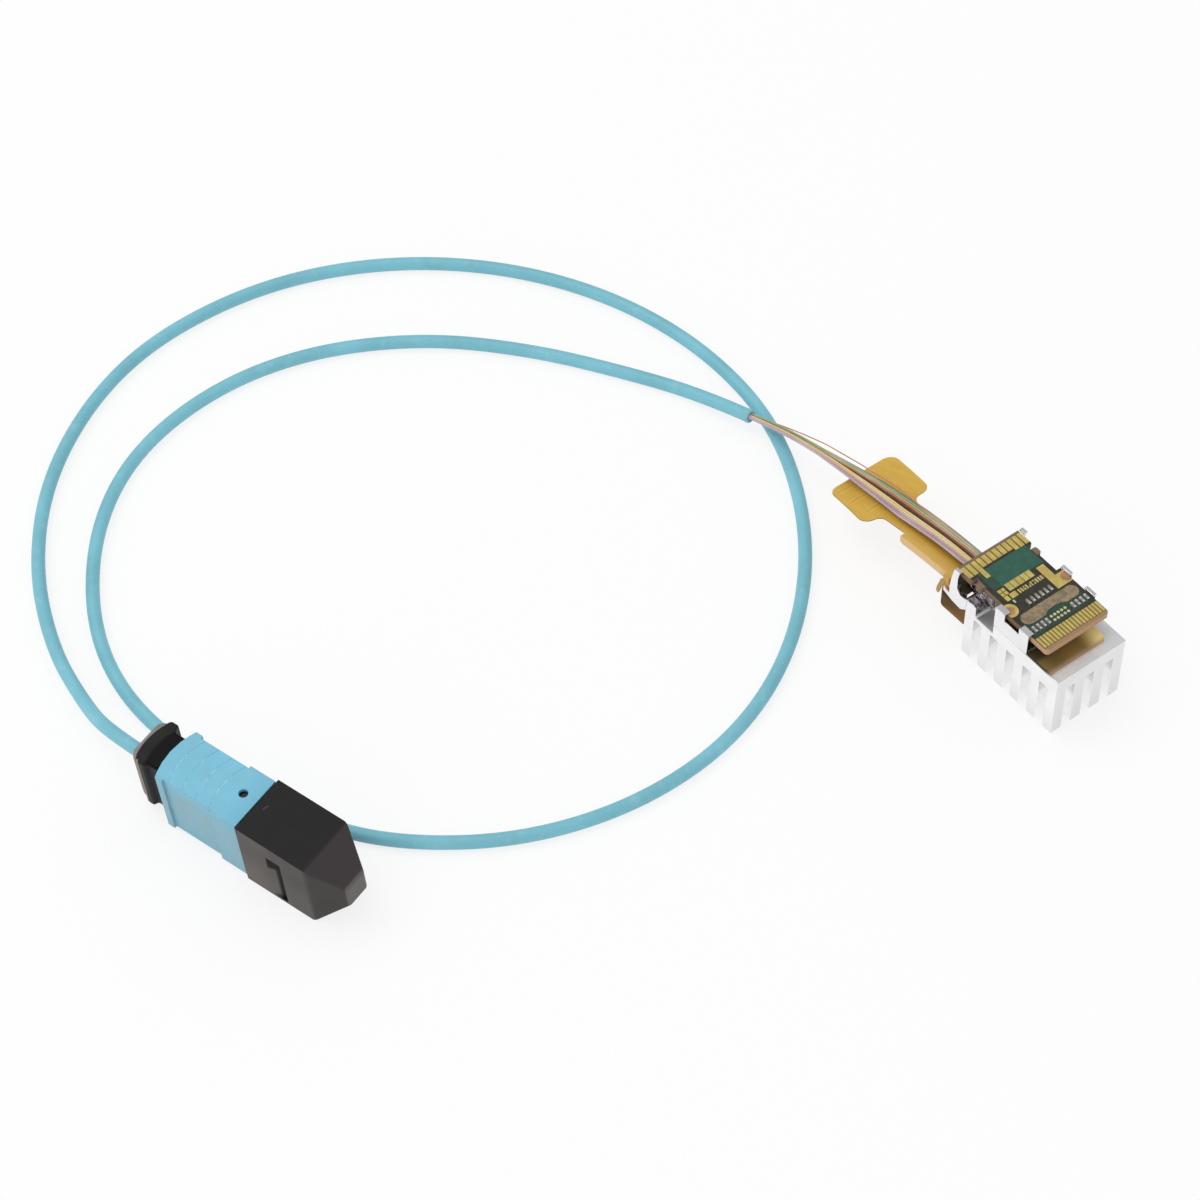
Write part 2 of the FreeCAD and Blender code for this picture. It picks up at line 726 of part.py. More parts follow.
def corner_pad():
    """L-shaped earth pad whose foot lies under a tab of the clip."""
    body = new_body("corner_pad")
    outer = "board_width / 2 - foil_thick"
    edge = "corner_pad_inner + corner_pad_wide"
    foot = "-corner_pad_front - corner_pad_foot"
    outline = polygon(body, "outline", "XY_Plane", [
        ("-corner_pad_rear", "corner_pad_inner"),
        ("-corner_pad_front", "corner_pad_inner"),
        ("-corner_pad_front", outer),
        (foot, outer),
        (foot, edge),
        ("-corner_pad_rear", edge),
    ], BOARD_TOP)
    pad(body, outline, "foil_thick")


def round_pad():
    """Round earth pad at the near edge, cut off along that edge, partly under a tab of the clip."""
    body = new_body("round_pad")
    disc = circle(body, "disc", "XY_Plane", "disc_radius", "-disc_rear", "-disc_near", BOARD_TOP)
    pad(body, disc, "foil_thick")
    beyond = rectangle(body, "beyond", "XY_Plane", ("-disc_rear - disc_radius", "-disc_near - disc_radius"),
                       ("-disc_rear + disc_radius", "-board_width / 2 + foil_thick"), BOARD_TOP)
    pocket(body, beyond, "foil_thick")


def test_points():
    """Two rows of round test points."""
    body = new_body("test_points", several=True)
    start = "-via_pitch * (via_count - 1) / 2 + via_shift"
    rows = []
    for name, along in (("rear", "via_front"), ("front", "via_front + via_rows_apart")):
        dot = circle(body, name, "XY_Plane", "via_radius", along, start, BOARD_TOP)
        rows.append(pad(body, dot, "foil_thick"))
    repeat(body, rows, "Y_Axis", "via_count", "via_pitch * (via_count - 1)")


def chip_row(body, name, along, start, count):
    """Row of chip capacitors that stand side by side."""
    one = rectangle(body, name, "XY_Plane", (f"{along} - chip_long / 2", f"{start} - chip_wide / 2"),
                    (f"{along} + chip_long / 2", f"{start} + chip_wide / 2"), BOARD_TOP)
    repeat(body, [pad(body, one, "chip_tall")], "Y_Axis", count, f"chip_pitch * ({count} - 1)")


def chip_capacitors():
    """Chip capacitors: one row in the middle, and a short row on each side of the test points."""
    body = new_body("chip_capacitors", several=True)
    chip_row(body, "middle", "-middle_chip_rear", "-middle_chip_near", "middle_chip_count")
    chip_row(body, "near", "front_chip_front", "-near_chip_start", "front_chip_count")
    chip_row(body, "far", "front_chip_front", "far_chip_start", "front_chip_count")


def sealing_strip():
    """Band of cured resin across the board, with rounded ends."""
    body = new_body("sealing_strip")
    band = rectangle(body, "band", "XY_Plane", ("-strip_rear", "-strip_near"),
                     ("-strip_rear + strip_long", "strip_far"), BOARD_TOP)
    pad(body, band, "strip_thick")
    round_upright(body, "strip_long * 0.45", lambda place: True)


def under_board():
    """Driver chip, thermal pad, laser and detector arrays, lens block and fibre clamp."""
    low = ("-die_rear", "-die_wide / 2")
    high = ("-die_rear + die_long", "die_wide / 2")
    body = new_body("driver_chip")
    pad(body, rectangle(body, "die", "XY_Plane", low, high, f"{BOARD_BOTTOM} - die_thick"), "die_thick")
    body = new_body("thermal_pad")
    pad(body, rectangle(body, "pad", "XY_Plane", low, high, "sink_height"), "board_lift - die_thick")

    body = new_body("lens_block")
    block = rectangle(body, "block", "XY_Plane", ("-lens_rear", "-lens_width / 2"),
                      ("-lens_front", "lens_width / 2"), FLOOR)
    pad(body, block, "board_lift - film_thick")
    well = rectangle(body, "well", "XY_Plane",
                     ("-array_front - 2 * array_long", "-array_gap - array_wide"),
                     ("-array_front + array_long", "array_gap + array_wide"),
                     f"{BOARD_BOTTOM} - lens_well_deep")
    pocket(body, well, "lens_well_deep")

    for label, near in (("laser_array", "-array_gap / 2 - array_wide"), ("detector_array", "array_gap / 2")):
        body = new_body(label)
        chip = rectangle(body, "chip", "XY_Plane", ("-array_front - array_long", near),
                         ("-array_front", f"{near} + array_wide"), f"{BOARD_BOTTOM} - array_thick")
        pad(body, chip, "array_thick")

    body = new_body("fibre_clamp")
    clamp = rectangle(body, "clamp", "XY_Plane", ("-lens_rear - clamp_long", "-clamp_width / 2"),
                      ("-lens_rear", "clamp_width / 2"), f"{BOARD_BOTTOM} - clamp_tall")
    pad(body, clamp, "clamp_tall")


def dust_cap():
    """Hollow block with a blunt pyramid in front and a wedge-shaped finger pocket in each wide side."""
    body = new_body("dust_cap")
    pad(body, centred(body, "block", "YZ_Plane", "cap_wide", "cap_tall"), "cap_long")
    loft(body, [centred(body, "shoulder", "YZ_Plane", "cap_wide", "cap_tall", "cap_long"),
                centred(body, "tip", "YZ_Plane", "nose_wide", "nose_tall", "cap_long + cap_nose")])
    inside = centred(body, "inside", "YZ_Plane", "housing_wide + 2 * fit_gap", "housing_tall + 2 * fit_gap")
    pocket(body, inside, "cap_long - cap_roof")
    front = "cap_pocket_rear + cap_pocket_long"
    wedge = polygon(body, "wedge", "XY_Plane", [
        ("cap_pocket_rear", "-cap_wide / 2"),
        (front, "-cap_wide / 2"),
        (front, "-cap_wide / 2 + cap_pocket_deep"),
    ], "-cap_pocket_low")
    mirror(body, [pocket(body, wedge, "cap_pocket_low + cap_pocket_high")], "XZ_Plane")


def inner_housing():
    """Shell that holds the ferrule, with a shoulder for its flange and a spring channel above and below."""
    body = new_body("inner_housing")
    shell = centred(body, "shell", "YZ_Plane", "housing_wide", "housing_tall", "-housing_tail")
    pad(body, shell, "housing_tail + housing_nose")
    chamber = centred(body, "chamber", "YZ_Plane", "flange_wide + 2 * fit_gap", "flange_tall + 2 * fit_gap",
                      "-housing_tail")
    pocket(body, chamber, "housing_tail + shoulder")
    mouth = centred(body, "mouth", "YZ_Plane", "ferrule_wide + 2 * fit_gap", "ferrule_tall + 2 * fit_gap",
                    "shoulder")
    pocket(body, mouth, "housing_nose - shoulder")
    channel = rectangle(body, "channel", "XY_Plane", ("-channel_rear", "-channel_wide / 2"),
                        ("-channel_front", "channel_wide / 2"), "housing_tall / 2 - channel_deep")
    mirror(body, [pocket(body, channel, "channel_deep")], "XY_Plane")


def bowed_line(place, wide, bow):
    """Points from side to side on a line that is bowed backwards, as seen from above."""
    steps = [(1, 0), (0.8, 0.36), (0.45, 0.8), (0, 1), (-0.45, 0.8), (-0.8, 0.36), (-1, 0)]
    return [(f"{place} - {bow} * {back}", f"({wide}) / 2 * {side}") for side, back in steps]


def bowed_block(body, name, front, rear, wide, tall, bow):
    """Block whose rear face is bowed backwards."""
    outline = [(front, f"-({wide}) / 2"), (front, f"({wide}) / 2")] + bowed_line(rear, wide, bow)
    pad(body, polygon(body, name, "XY_Plane", outline, f"-{tall} / 2"), tall)


def coupling_sleeve():
    """Sliding outer sleeve, wider in a band in front and a bowed lip behind, with bowed grooves on top."""
    body = new_body("coupling_sleeve")
    rear = "-rest_gap - sleeve_long"
    raised_wide = "sleeve_wide + 2 * sleeve_step"
    pad(body, centred(body, "tube", "YZ_Plane", "sleeve_wide", "sleeve_tall", rear), "sleeve_long")
    bowed_block(body, "lip", f"{rear} + sleeve_lip", rear, raised_wide, "sleeve_tall", "sleeve_bulge")
    pad(body, centred(body, "band", "YZ_Plane", raised_wide, "sleeve_tall", "-rest_gap - sleeve_band"),
        "sleeve_band")
    inside = centred(body, "inside", "YZ_Plane", "housing_wide + 2 * fit_gap", "housing_tall + 2 * fit_gap",
                     f"{rear} - sleeve_bulge")
    pocket(body, inside, "sleeve_long + sleeve_bulge")
    hole = circle(body, "hole", "XY_Plane", "sleeve_hole / 2", "-sleeve_hole_back", "sleeve_hole / 3",
                  "housing_tall / 2")
    pocket(body, hole, "sleeve_tall")
    first = f"{rear} + sleeve_lip + sleeve_bulge"
    outline = bowed_line(first, "sleeve_wide", "sleeve_bulge")
    outline += reversed(bowed_line(f"{first} + groove_wide", "sleeve_wide", "sleeve_bulge"))
    groove = polygon(body, "groove", "XY_Plane", outline, "sleeve_tall / 2 - groove_deep")
    repeat(body, [pocket(body, groove, "groove_deep")], "X_Axis", "groove_count",
           "groove_pitch * (groove_count - 1)")
    lug = rectangle(body, "lug", "XY_Plane", (f"{LUG_FRONT} - lug_long", "-channel_wide / 2 + fit_gap"),
                    (LUG_FRONT, "channel_wide / 2 - fit_gap"), "housing_tall / 2 - channel_deep + fit_gap")
    mirror(body, [pad(body, lug, "channel_deep + sleeve_step / 2")], "XY_Plane")


def ferrule():
    """Rectangular ferrule with a rear flange, two guide holes and a window for the fibres."""
    body = new_body("ferrule")
    flange = f"{FLANGE_FRONT} - flange_long"
    pad(body, centred(body, "flange", "YZ_Plane", "flange_wide", "flange_tall", flange), "flange_long")
    pad(body, centred(body, "body", "YZ_Plane", "ferrule_wide", "ferrule_tall", FLANGE_FRONT),
        f"housing_nose + ferrule_tip - ({FLANGE_FRONT})")
    window = centred(body, "window", "YZ_Plane", "window_wide", "window_tall", flange)
    pocket(body, window, "flange_long + housing_nose / 2")
    guide = circle(body, "guide", "YZ_Plane", "guide_hole / 2", "0", "guide_apart / 2", "shoulder")
    mirror(body, [pocket(body, guide, "housing_nose")], "XY_Plane")


def ferrule_keeper():
    """Plate behind the ferrule that the spring presses on, with a window for the fibres."""
    body = new_body("ferrule_keeper")
    plate = centred(body, "plate", "YZ_Plane", "flange_wide", "flange_tall", KEEPER_REAR)
    pad(body, plate, "keeper_long")
    window = centred(body, "window", "YZ_Plane", "window_wide", "window_tall", KEEPER_REAR)
    pocket(body, window, "keeper_long")


def spring_push():
    """Rear plug of the housing: it carries the spring in front and the crimp barrel behind."""
    body = new_body("spring_push")
    pad(body, centred(body, "block", "YZ_Plane", "flange_wide", "flange_tall", "-housing_tail"),
        "housing_tail - push_front")
    plate = "-housing_tail - push_flange"
    pad(body, centred(body, "plate", "YZ_Plane", "housing_wide", "housing_tall", plate), "push_flange")
    pad(body, circle(body, "barrel", "YZ_Plane", "barrel_diameter / 2", lift="-cable_seat"),
        "cable_seat - housing_tail - push_flange")
    bore = circle(body, "bore", "YZ_Plane", "bundle_diameter / 2 + fit_gap", lift="-cable_seat")
    pocket(body, bore, "cable_seat - push_front")


def crimp_ring():
    """Metal ring crimped on the barrel."""
    body = new_body("crimp_ring")
    rear = "-housing_tail - push_flange - ring_long - rest_gap"
    pad(body, circle(body, "outside", "YZ_Plane", RING_RADIUS, lift=rear), "ring_long")
    bore = circle(body, "bore", "YZ_Plane", "barrel_diameter / 2 + fit_gap / 4", lift=rear)
    pocket(body, bore, "ring_long")


def boot():
    """Moulded rear cover: straight neck, and a flared flange and a smaller rim that are bowed behind."""
    body = new_body("boot")
    neck = "-sleeve_long - sleeve_travel - sleeve_bulge / 2 - 2 * rest_gap"
    flange = "-boot_rim + boot_flange"
    pad(body, centred(body, "neck", "YZ_Plane", "boot_waist_wide", "boot_waist_tall", neck),
        f"-boot_front - ({neck})")
    loft(body, [centred(body, "flare_rear", "YZ_Plane", "boot_wide", "boot_tall", flange),
                centred(body, "flare_front", "YZ_Plane", "boot_waist_wide", "boot_waist_tall", neck)])
    bowed_block(body, "flange", flange, "-boot_rim", "boot_wide", "boot_tall", "boot_bow")
    bowed_block(body, "rim", "-boot_rim", "-boot_rear", "rim_wide", "rim_tall", "boot_bow")
    seat = "-cable_seat - fit_gap"
    chamber = circle(body, "chamber", "YZ_Plane", f"{RING_RADIUS} + fit_gap", lift=seat)
    pocket(body, chamber, "cable_seat + fit_gap - boot_front")
    gland = circle(body, "gland", "YZ_Plane", "jacket_diameter / 2 + fit_gap", lift="-boot_rear - boot_bow")
    pocket(body, gland, "boot_rear + boot_bow - cable_seat")


def coil_spring(label, start, length, diameter, wire, turns, height):
    """Coil spring along the plug's axis, at a height over it."""
    radius = (diameter - wire) / 2
    pitch = (length - wire) / turns
    helix = Part.makeHelix(pitch, length - wire, radius)
    section = Part.Circle(Vector(radius, 0, 0), Vector(0, 1, pitch / (math.tau * radius)), wire / 2)
    coil = Part.Wire(helix).makePipeShell([Part.Wire(section.toShape())], True, True)
    coil.rotate(Vector(0, 0, 0), Vector(0, 1, 0), 90)
    coil.translate(Vector(start + wire / 2, 0, height))
    free_shape(label, coil)


def springs():
    """Spring behind the ferrule, and the two small ones that push the sleeve forwards."""
    gap = size("fit_gap")
    keeper = size("shoulder") - gap - size("flange_long") - size("keeper_long")
    start = -size("push_front") + gap
    coil_spring("ferrule_spring", start, keeper - gap - start, size("coil_diameter"), size("coil_wire"),
                size("coil_turns"), 0)
    start = -size("channel_rear") + gap
    lug = -size("channel_front") - gap - size("lug_long")
    height = size("housing_tall") / 2 - size("channel_deep") / 2
    for label, side in (("upper_sleeve_spring", 1), ("lower_sleeve_spring", -1)):
        coil_spring(label, start, lug - gap - start, size("small_coil"), size("small_wire"),
                    size("small_turns"), side * height)


def tube(label, route, diameter):
    """Round tube along straight runs joined by tangent arcs, each as large as its runs allow."""
    points = [Vector(*place) for place in route]
    edges = []
    radii = []
    start = points[0]
    for before, corner, after in zip(points, points[1:], points[2:]):
        back = (before - corner).normalize()
        ahead = (after - corner).normalize()
        half_turn = (math.pi - back.getAngle(ahead)) / 2
        reach = 0.45 * min((before - corner).Length, (after - corner).Length)
        radius = reach / math.tan(half_turn)
        inward = (back + ahead).normalize()
        middle = corner + inward * (radius / math.cos(half_turn) - radius)
        edges.append(Part.LineSegment(start, corner + back * reach).toShape())
        edges.append(Part.Arc(corner + back * reach, middle, corner + ahead * reach).toShape())
        radii.append(round(radius, 1))
        start = corner + ahead * reach
    edges.append(Part.LineSegment(start, points[-1]).toShape())
    path = Part.Wire(edges)
    ring = Part.Circle(points[0], points[1] - points[0], diameter / 2)
    shape = path.makePipeShell([Part.Wire(ring.toShape())], True, False)
    section = math.pi * diameter ** 2 / 4
    print(label, "length", round(path.Length, 2), "radii", radii)
    print(label, "volume over section times length", shape.Volume / (section * path.Length))
    free_shape(label, shape)


def plug_placement():
    """Frame of the plug: on the jacket's end, along its last run, rolled about that line."""
    last = Vector(*JACKET_ROUTE[-1])
    axis = (last - Vector(*JACKET_ROUTE[-2])).normalize()
    turn = FreeCAD.Rotation(Vector(0, 0, 1), math.degrees(math.atan2(axis.y, axis.x)))
    roll = FreeCAD.Rotation(Vector(1, 0, 0), size("plug_roll"))
    return FreeCAD.Placement(last + axis * size("cable_seat"), turn.multiply(roll))


def build_module():
    """Heat sink, film, clip, latch, board and what is on and under the board."""
    for make in (heat_sink, pull_tab, retaining_clip, rear_latch, circuit_board, front_contacts,
                 rear_contacts, bond_pads, corner_pad, round_pad, test_points, chip_capacitors,
                 sealing_strip, under_board):
        make()


def build_plug():
    """Plug pieces in their own frame, then set on the cable's end."""
    first = len(parts)
    for make in (boot, crimp_ring, spring_push, springs, ferrule_keeper, ferrule, inner_housing,
                 coupling_sleeve, dust_cap):
        make()
    doc.recompute()
    for piece in parts[first:]:
        piece.Placement = plug_placement().multiply(piece.Placement)


def export():
    """Check every object, then write one file for each sub-part."""
    doc.recompute()
    failed = [item.Label for item in doc.Objects if "Invalid" in item.State or "Error" in item.State]
    failed += [part.Label for part in parts if part.Shape.isNull() or not part.Shape.isValid()]
    if failed:
        raise RuntimeError("failed: " + ", ".join(failed))
    os.makedirs("parts", exist_ok=True)
    for part in parts:
        part.Shape.exportStep(f"parts/{part.Label}.step")
        print(part.Label, len(part.Shape.Solids), "solids", round(part.Shape.Volume, 3))


fill_sheet()
build_module()
tube("fibre_bundle", BUNDLE_ROUTE, size("bundle_diameter"))
tube("cable_jacket", JACKET_ROUTE, size("jacket_diameter"))
build_plug()
export()
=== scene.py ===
import json
import math

import bmesh
import bpy
from bpy.props import FloatProperty, FloatVectorProperty, PointerProperty
from bpy.types import Operator, Panel, PropertyGroup
from mathutils import Matrix, Vector

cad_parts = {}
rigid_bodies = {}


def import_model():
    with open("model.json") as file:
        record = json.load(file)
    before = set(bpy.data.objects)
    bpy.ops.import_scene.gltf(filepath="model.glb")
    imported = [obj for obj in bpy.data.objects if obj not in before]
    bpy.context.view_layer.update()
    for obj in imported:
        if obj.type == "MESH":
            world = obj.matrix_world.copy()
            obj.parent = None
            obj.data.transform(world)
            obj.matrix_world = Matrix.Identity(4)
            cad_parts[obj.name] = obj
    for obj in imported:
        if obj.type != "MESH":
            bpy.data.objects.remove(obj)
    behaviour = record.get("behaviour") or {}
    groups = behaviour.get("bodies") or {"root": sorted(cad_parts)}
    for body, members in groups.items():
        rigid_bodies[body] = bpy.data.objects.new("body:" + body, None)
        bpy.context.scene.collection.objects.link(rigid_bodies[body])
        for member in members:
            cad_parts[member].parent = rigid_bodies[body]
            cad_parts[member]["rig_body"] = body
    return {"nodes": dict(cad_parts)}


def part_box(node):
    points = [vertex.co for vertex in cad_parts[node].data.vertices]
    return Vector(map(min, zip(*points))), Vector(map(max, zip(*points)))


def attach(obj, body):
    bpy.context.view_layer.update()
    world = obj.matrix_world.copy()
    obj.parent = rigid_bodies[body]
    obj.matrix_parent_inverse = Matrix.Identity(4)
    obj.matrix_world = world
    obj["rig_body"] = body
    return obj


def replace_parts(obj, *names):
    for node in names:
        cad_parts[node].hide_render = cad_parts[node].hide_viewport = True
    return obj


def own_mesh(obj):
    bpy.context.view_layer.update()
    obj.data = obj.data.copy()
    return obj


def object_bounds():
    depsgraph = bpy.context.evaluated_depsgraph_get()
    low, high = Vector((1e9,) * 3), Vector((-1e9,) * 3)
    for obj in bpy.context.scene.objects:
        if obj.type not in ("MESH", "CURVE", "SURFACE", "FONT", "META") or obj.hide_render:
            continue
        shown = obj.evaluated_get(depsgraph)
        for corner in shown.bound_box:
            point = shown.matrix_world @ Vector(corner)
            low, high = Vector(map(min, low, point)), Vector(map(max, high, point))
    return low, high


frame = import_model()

bl_info = {
    "name": "Optical Cable Looks",
    "version": (1, 0, 0),
    "blender": (4, 5, 0),
    "location": "3D View > Sidebar > Optical Cable",
    "description": "Finishes and fine shapes of a coiled optical cable, its module and its plug",
    "category": "Object",
}

MM = 0.001
CAD_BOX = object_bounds()

# Vertices nearer to each other than this, in metres, are one vertex
WELD = 1e-7
# Faces that turn less than this from one to the next are one face
FLAT_ANGLE = math.radians(0.5)
# Edges that turn more than this are rounded
SHARP_ANGLE = math.radians(28)

# Route of the bare fibres, from the module to the jacket, in millimetres
FIBRE_ROUTE = [
    (-10.8, -1.25, 11.2),
    (-15.2, -1.25, 11.2),
    (-21.5, -1.05, 9.95),
    (-28.2, -1.0, 8.5),
    (-34.9, -1.1, 6.95),
    (-41.4, -1.4, 5.35),
    (-47.8, -1.9, 3.8),
    (-53.5, -3.1, 2.6),
]

# Route of the jacket, round one and a half turns to the plug
JACKET_ROUTE = [
    (-53.5, -3.1, 2.6),
    (-61.5, -4.78, 0.95),
    (-70.5, -10.0, 0.95),
    (-82.0, -17.8, 0.95),
    (-92.5, -28.0, 0.95),
    (-99.9, -41.5, 0.95),
    (-102.1, -55.8, 0.95),
    (-98.9, -70.5, 0.95),
    (-90.0, -82.3, 0.95),
    (-76.0, -91.2, 0.95),
    (-62.0, -93.6, 0.95),
    (-48.0, -90.2, 0.95),
    (-36.0, -86.3, 0.95),
    (-26.2, -79.2, 0.95),
    (-17.4, -66.6, 0.95),
    (-13.3, -51.3, 0.95),
    (-14.6, -35.5, 0.95),
    (-22.0, -20.9, 0.95),
    (-34.5, -8.7, 0.95),
    (-50.5, -0.6, 0.95),
    (-67.0, 0.9, 0.95),
    (-83.0, -2.9, 0.95),
    (-97.0, -11.5, 0.95),
    (-107.7, -24.0, 0.95),
    (-113.9, -39.0, 0.95),
    (-114.7, -55.5, 0.95),
    (-110.6, -69.0, 0.95),
    (-101.8, -81.8, 0.95),
    (-90.0, -91.0, 0.95),
    (-77.5, -96.3, 0.95),
    (-67.0, -98.0, 1.4),
    (-58.24, -99.506, 6.145),
    (-50.54, -97.34, 6.145),
]


def tone(red, green, blue):
    """Colour as it looks on a screen, from 0 to 255, turned into light values."""
    def light(level):
        level = level / 255
        return level / 12.92 if level <= 0.04045 else ((level + 0.055) / 1.055) ** 2.4

    return light(red), light(green), light(blue)


def colour(name, description, shade):
    """Colour that a user can change."""
    return FloatVectorProperty(name=name, description=description, subtype="COLOR", size=3, min=0, max=1,
                               default=tone(*shade))


def length(name, description, millimetres):
    """Length that a user can change, in metres like the scene."""
    return FloatProperty(name=name, description=description, unit="LENGTH", precision=6, min=0,
                         default=millimetres * MM)


def reach(node):
    """Low and high corner of a solid of the frame, in millimetres."""
    low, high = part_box(node)
    return low / MM, high / MM


class ModuleLooks(PropertyGroup):
    """Colours and edge sizes of the optical module."""
    metal: colour("Metal", "Blasted heat sink", (252, 252, 253))
    steel: colour("Steel", "Clip and latch", (243, 243, 245))
    film: colour("Film", "Amber film of the pull tab", (214, 175, 78))
    mask: colour("Mask", "Dark solder mask", (47, 47, 35))
    field: colour("Field", "Teal solder mask field", (40, 92, 76))
    laminate: colour("Laminate", "Bare faces of the board", (124, 103, 82))
    edge: colour("Board edge", "Cut edges of the board", (188, 150, 116))
    gold: colour("Gold", "Contacts and pads", (252, 224, 134))
    resin: colour("Resin", "Sealing strip", (146, 126, 98))
    sink_round: length("Sink rounding", "Rounding of the heat sink's edges", 0.12)
    sheet_round: length("Sheet rounding", "Rounding of the clip's and latch's edges", 0.05)


class CableLooks(PropertyGroup):
    """Colours and sizes of the fibres and the jacket."""
    jacket: colour("Jacket", "Aqua jacket", (121, 190, 206))
    jacket_width: length("Jacket diameter", "Outer diameter of the jacket", 1.8)
    strand_width: length("Strand diameter", "Diameter of one coated fibre", 0.3)
    ribbon_width: length("Ribbon width", "Width of the fibres side by side at the module", 3.4)
    stray_width: length("Stray diameter", "Diameter of the one loose fibre", 0.17)


class PlugLooks(PropertyGroup):
    """Colours and sizes of the plug."""
    sleeve: colour("Sleeve", "Aqua coupling sleeve", (118, 190, 215))
    worn: colour("Worn sleeve", "Sides of the sleeve, dulled by handling", (142, 178, 192))
    cap: colour("Cap", "Black dust cap", (29, 27, 28))
    boot: colour("Boot", "Black boot", (38, 37, 37))
    dust: colour("Dust", "Dull wide sides of the cap", (94, 86, 82))
    rim: colour("Rim", "Pale rear rim of the boot", (132, 128, 128))
    roll: FloatProperty(name="Roll", description="Turn of the plug about its own line", subtype="ANGLE",
                        default=math.radians(5.96))
    seat: length("Cable seat", "From the cable's end to the dust cap's rear edge", 16.2)
    edge_round: length("Edge rounding", "Rounding of the cap's edges", 0.22)
    nose_round: length("Nose rounding", "Rounding of the edges of the cap's nose", 0.35)


class StageLooks(PropertyGroup):
    """Camera, floor and light."""
    eye: FloatVectorProperty(name="Camera", description="Where the camera stands", subtype="TRANSLATION",
                             size=3, default=(0.19638, -0.22065, 0.36505))
    aim: FloatVectorProperty(name="Aim", description="Floor point in the middle of the picture",
                             subtype="TRANSLATION", size=3, default=(-0.04248, -0.03656, 0.0))
    lens: FloatProperty(name="Lens", description="Focal length in millimetres", default=111.81)
    floor: colour("Floor", "Plain pale floor", (250, 250, 250))
    sky: FloatProperty(name="Sky", description="Strength of the light from all round", default=0.72)
    mirror: FloatProperty(name="Mirror", description="Strength of the sky in reflections", default=0.48)
    key: FloatProperty(name="Key", description="Power of the large soft lamp", unit="POWER", default=2.9)
    fill: FloatProperty(name="Fill", description="Power of the near lamp", unit="POWER", default=0.8)


class Value:
    """A socket of a material's nodes, for sums that are written as expressions."""

    def __init__(self, finish, socket):
        self.finish = finish
        self.socket = socket

    def maths(self, operation, *terms):
        """Math node on some terms."""
        return self.finish.node("ShaderNodeMath", {"operation": operation}, dict(enumerate(terms)))

    def __add__(self, other):
        return self.maths("ADD", self, other)

    def __radd__(self, other):
        return self.maths("ADD", other, self)

    def __sub__(self, other):
        return self.maths("SUBTRACT", self, other)

    def __rsub__(self, other):
        return self.maths("SUBTRACT", other, self)

    def __mul__(self, other):
        return self.maths("MULTIPLY", self, other)

    def __rmul__(self, other):
        return self.maths("MULTIPLY", other, self)

    def __neg__(self):
        return self.maths("MULTIPLY", self, -1.0)

    def __abs__(self):
        return self.maths("ABSOLUTE", self)

    def __mod__(self, other):
        return self.maths("FLOORED_MODULO", self, other)

    def lower(self, other):
        return self.maths("MINIMUM", self, other)

    def higher(self, other):
        return self.maths("MAXIMUM", self, other)


class Nodes:
    """A node tree of a material or of the world."""

    def __init__(self, tree):
        self.tree = tree

    def feed(self, socket, value):
        """Link a value, or set a number or colour on the socket itself."""
        if isinstance(value, Value):
            self.tree.links.new(value.socket, socket)
        elif socket.type == "RGBA" and len(value) == 3:
            socket.default_value = (*value, 1.0)
        else:
            socket.default_value = value

    def node(self, kind, settings=None, inputs=None, output=0):
        """Any node: its settings first, then what its sockets take."""
        made = self.tree.nodes.new(kind)
        for name, value in (settings or {}).items():
            setattr(made, name, value)
        for socket, value in (inputs or {}).items():
            self.feed(made.inputs[socket], value)
        return Value(self, made.outputs[output])

    def light_path(self):
        """Kinds of light ray, by name."""
        made = self.node("ShaderNodeLightPath").socket.node
        return {socket.name: Value(self, socket) for socket in made.outputs}


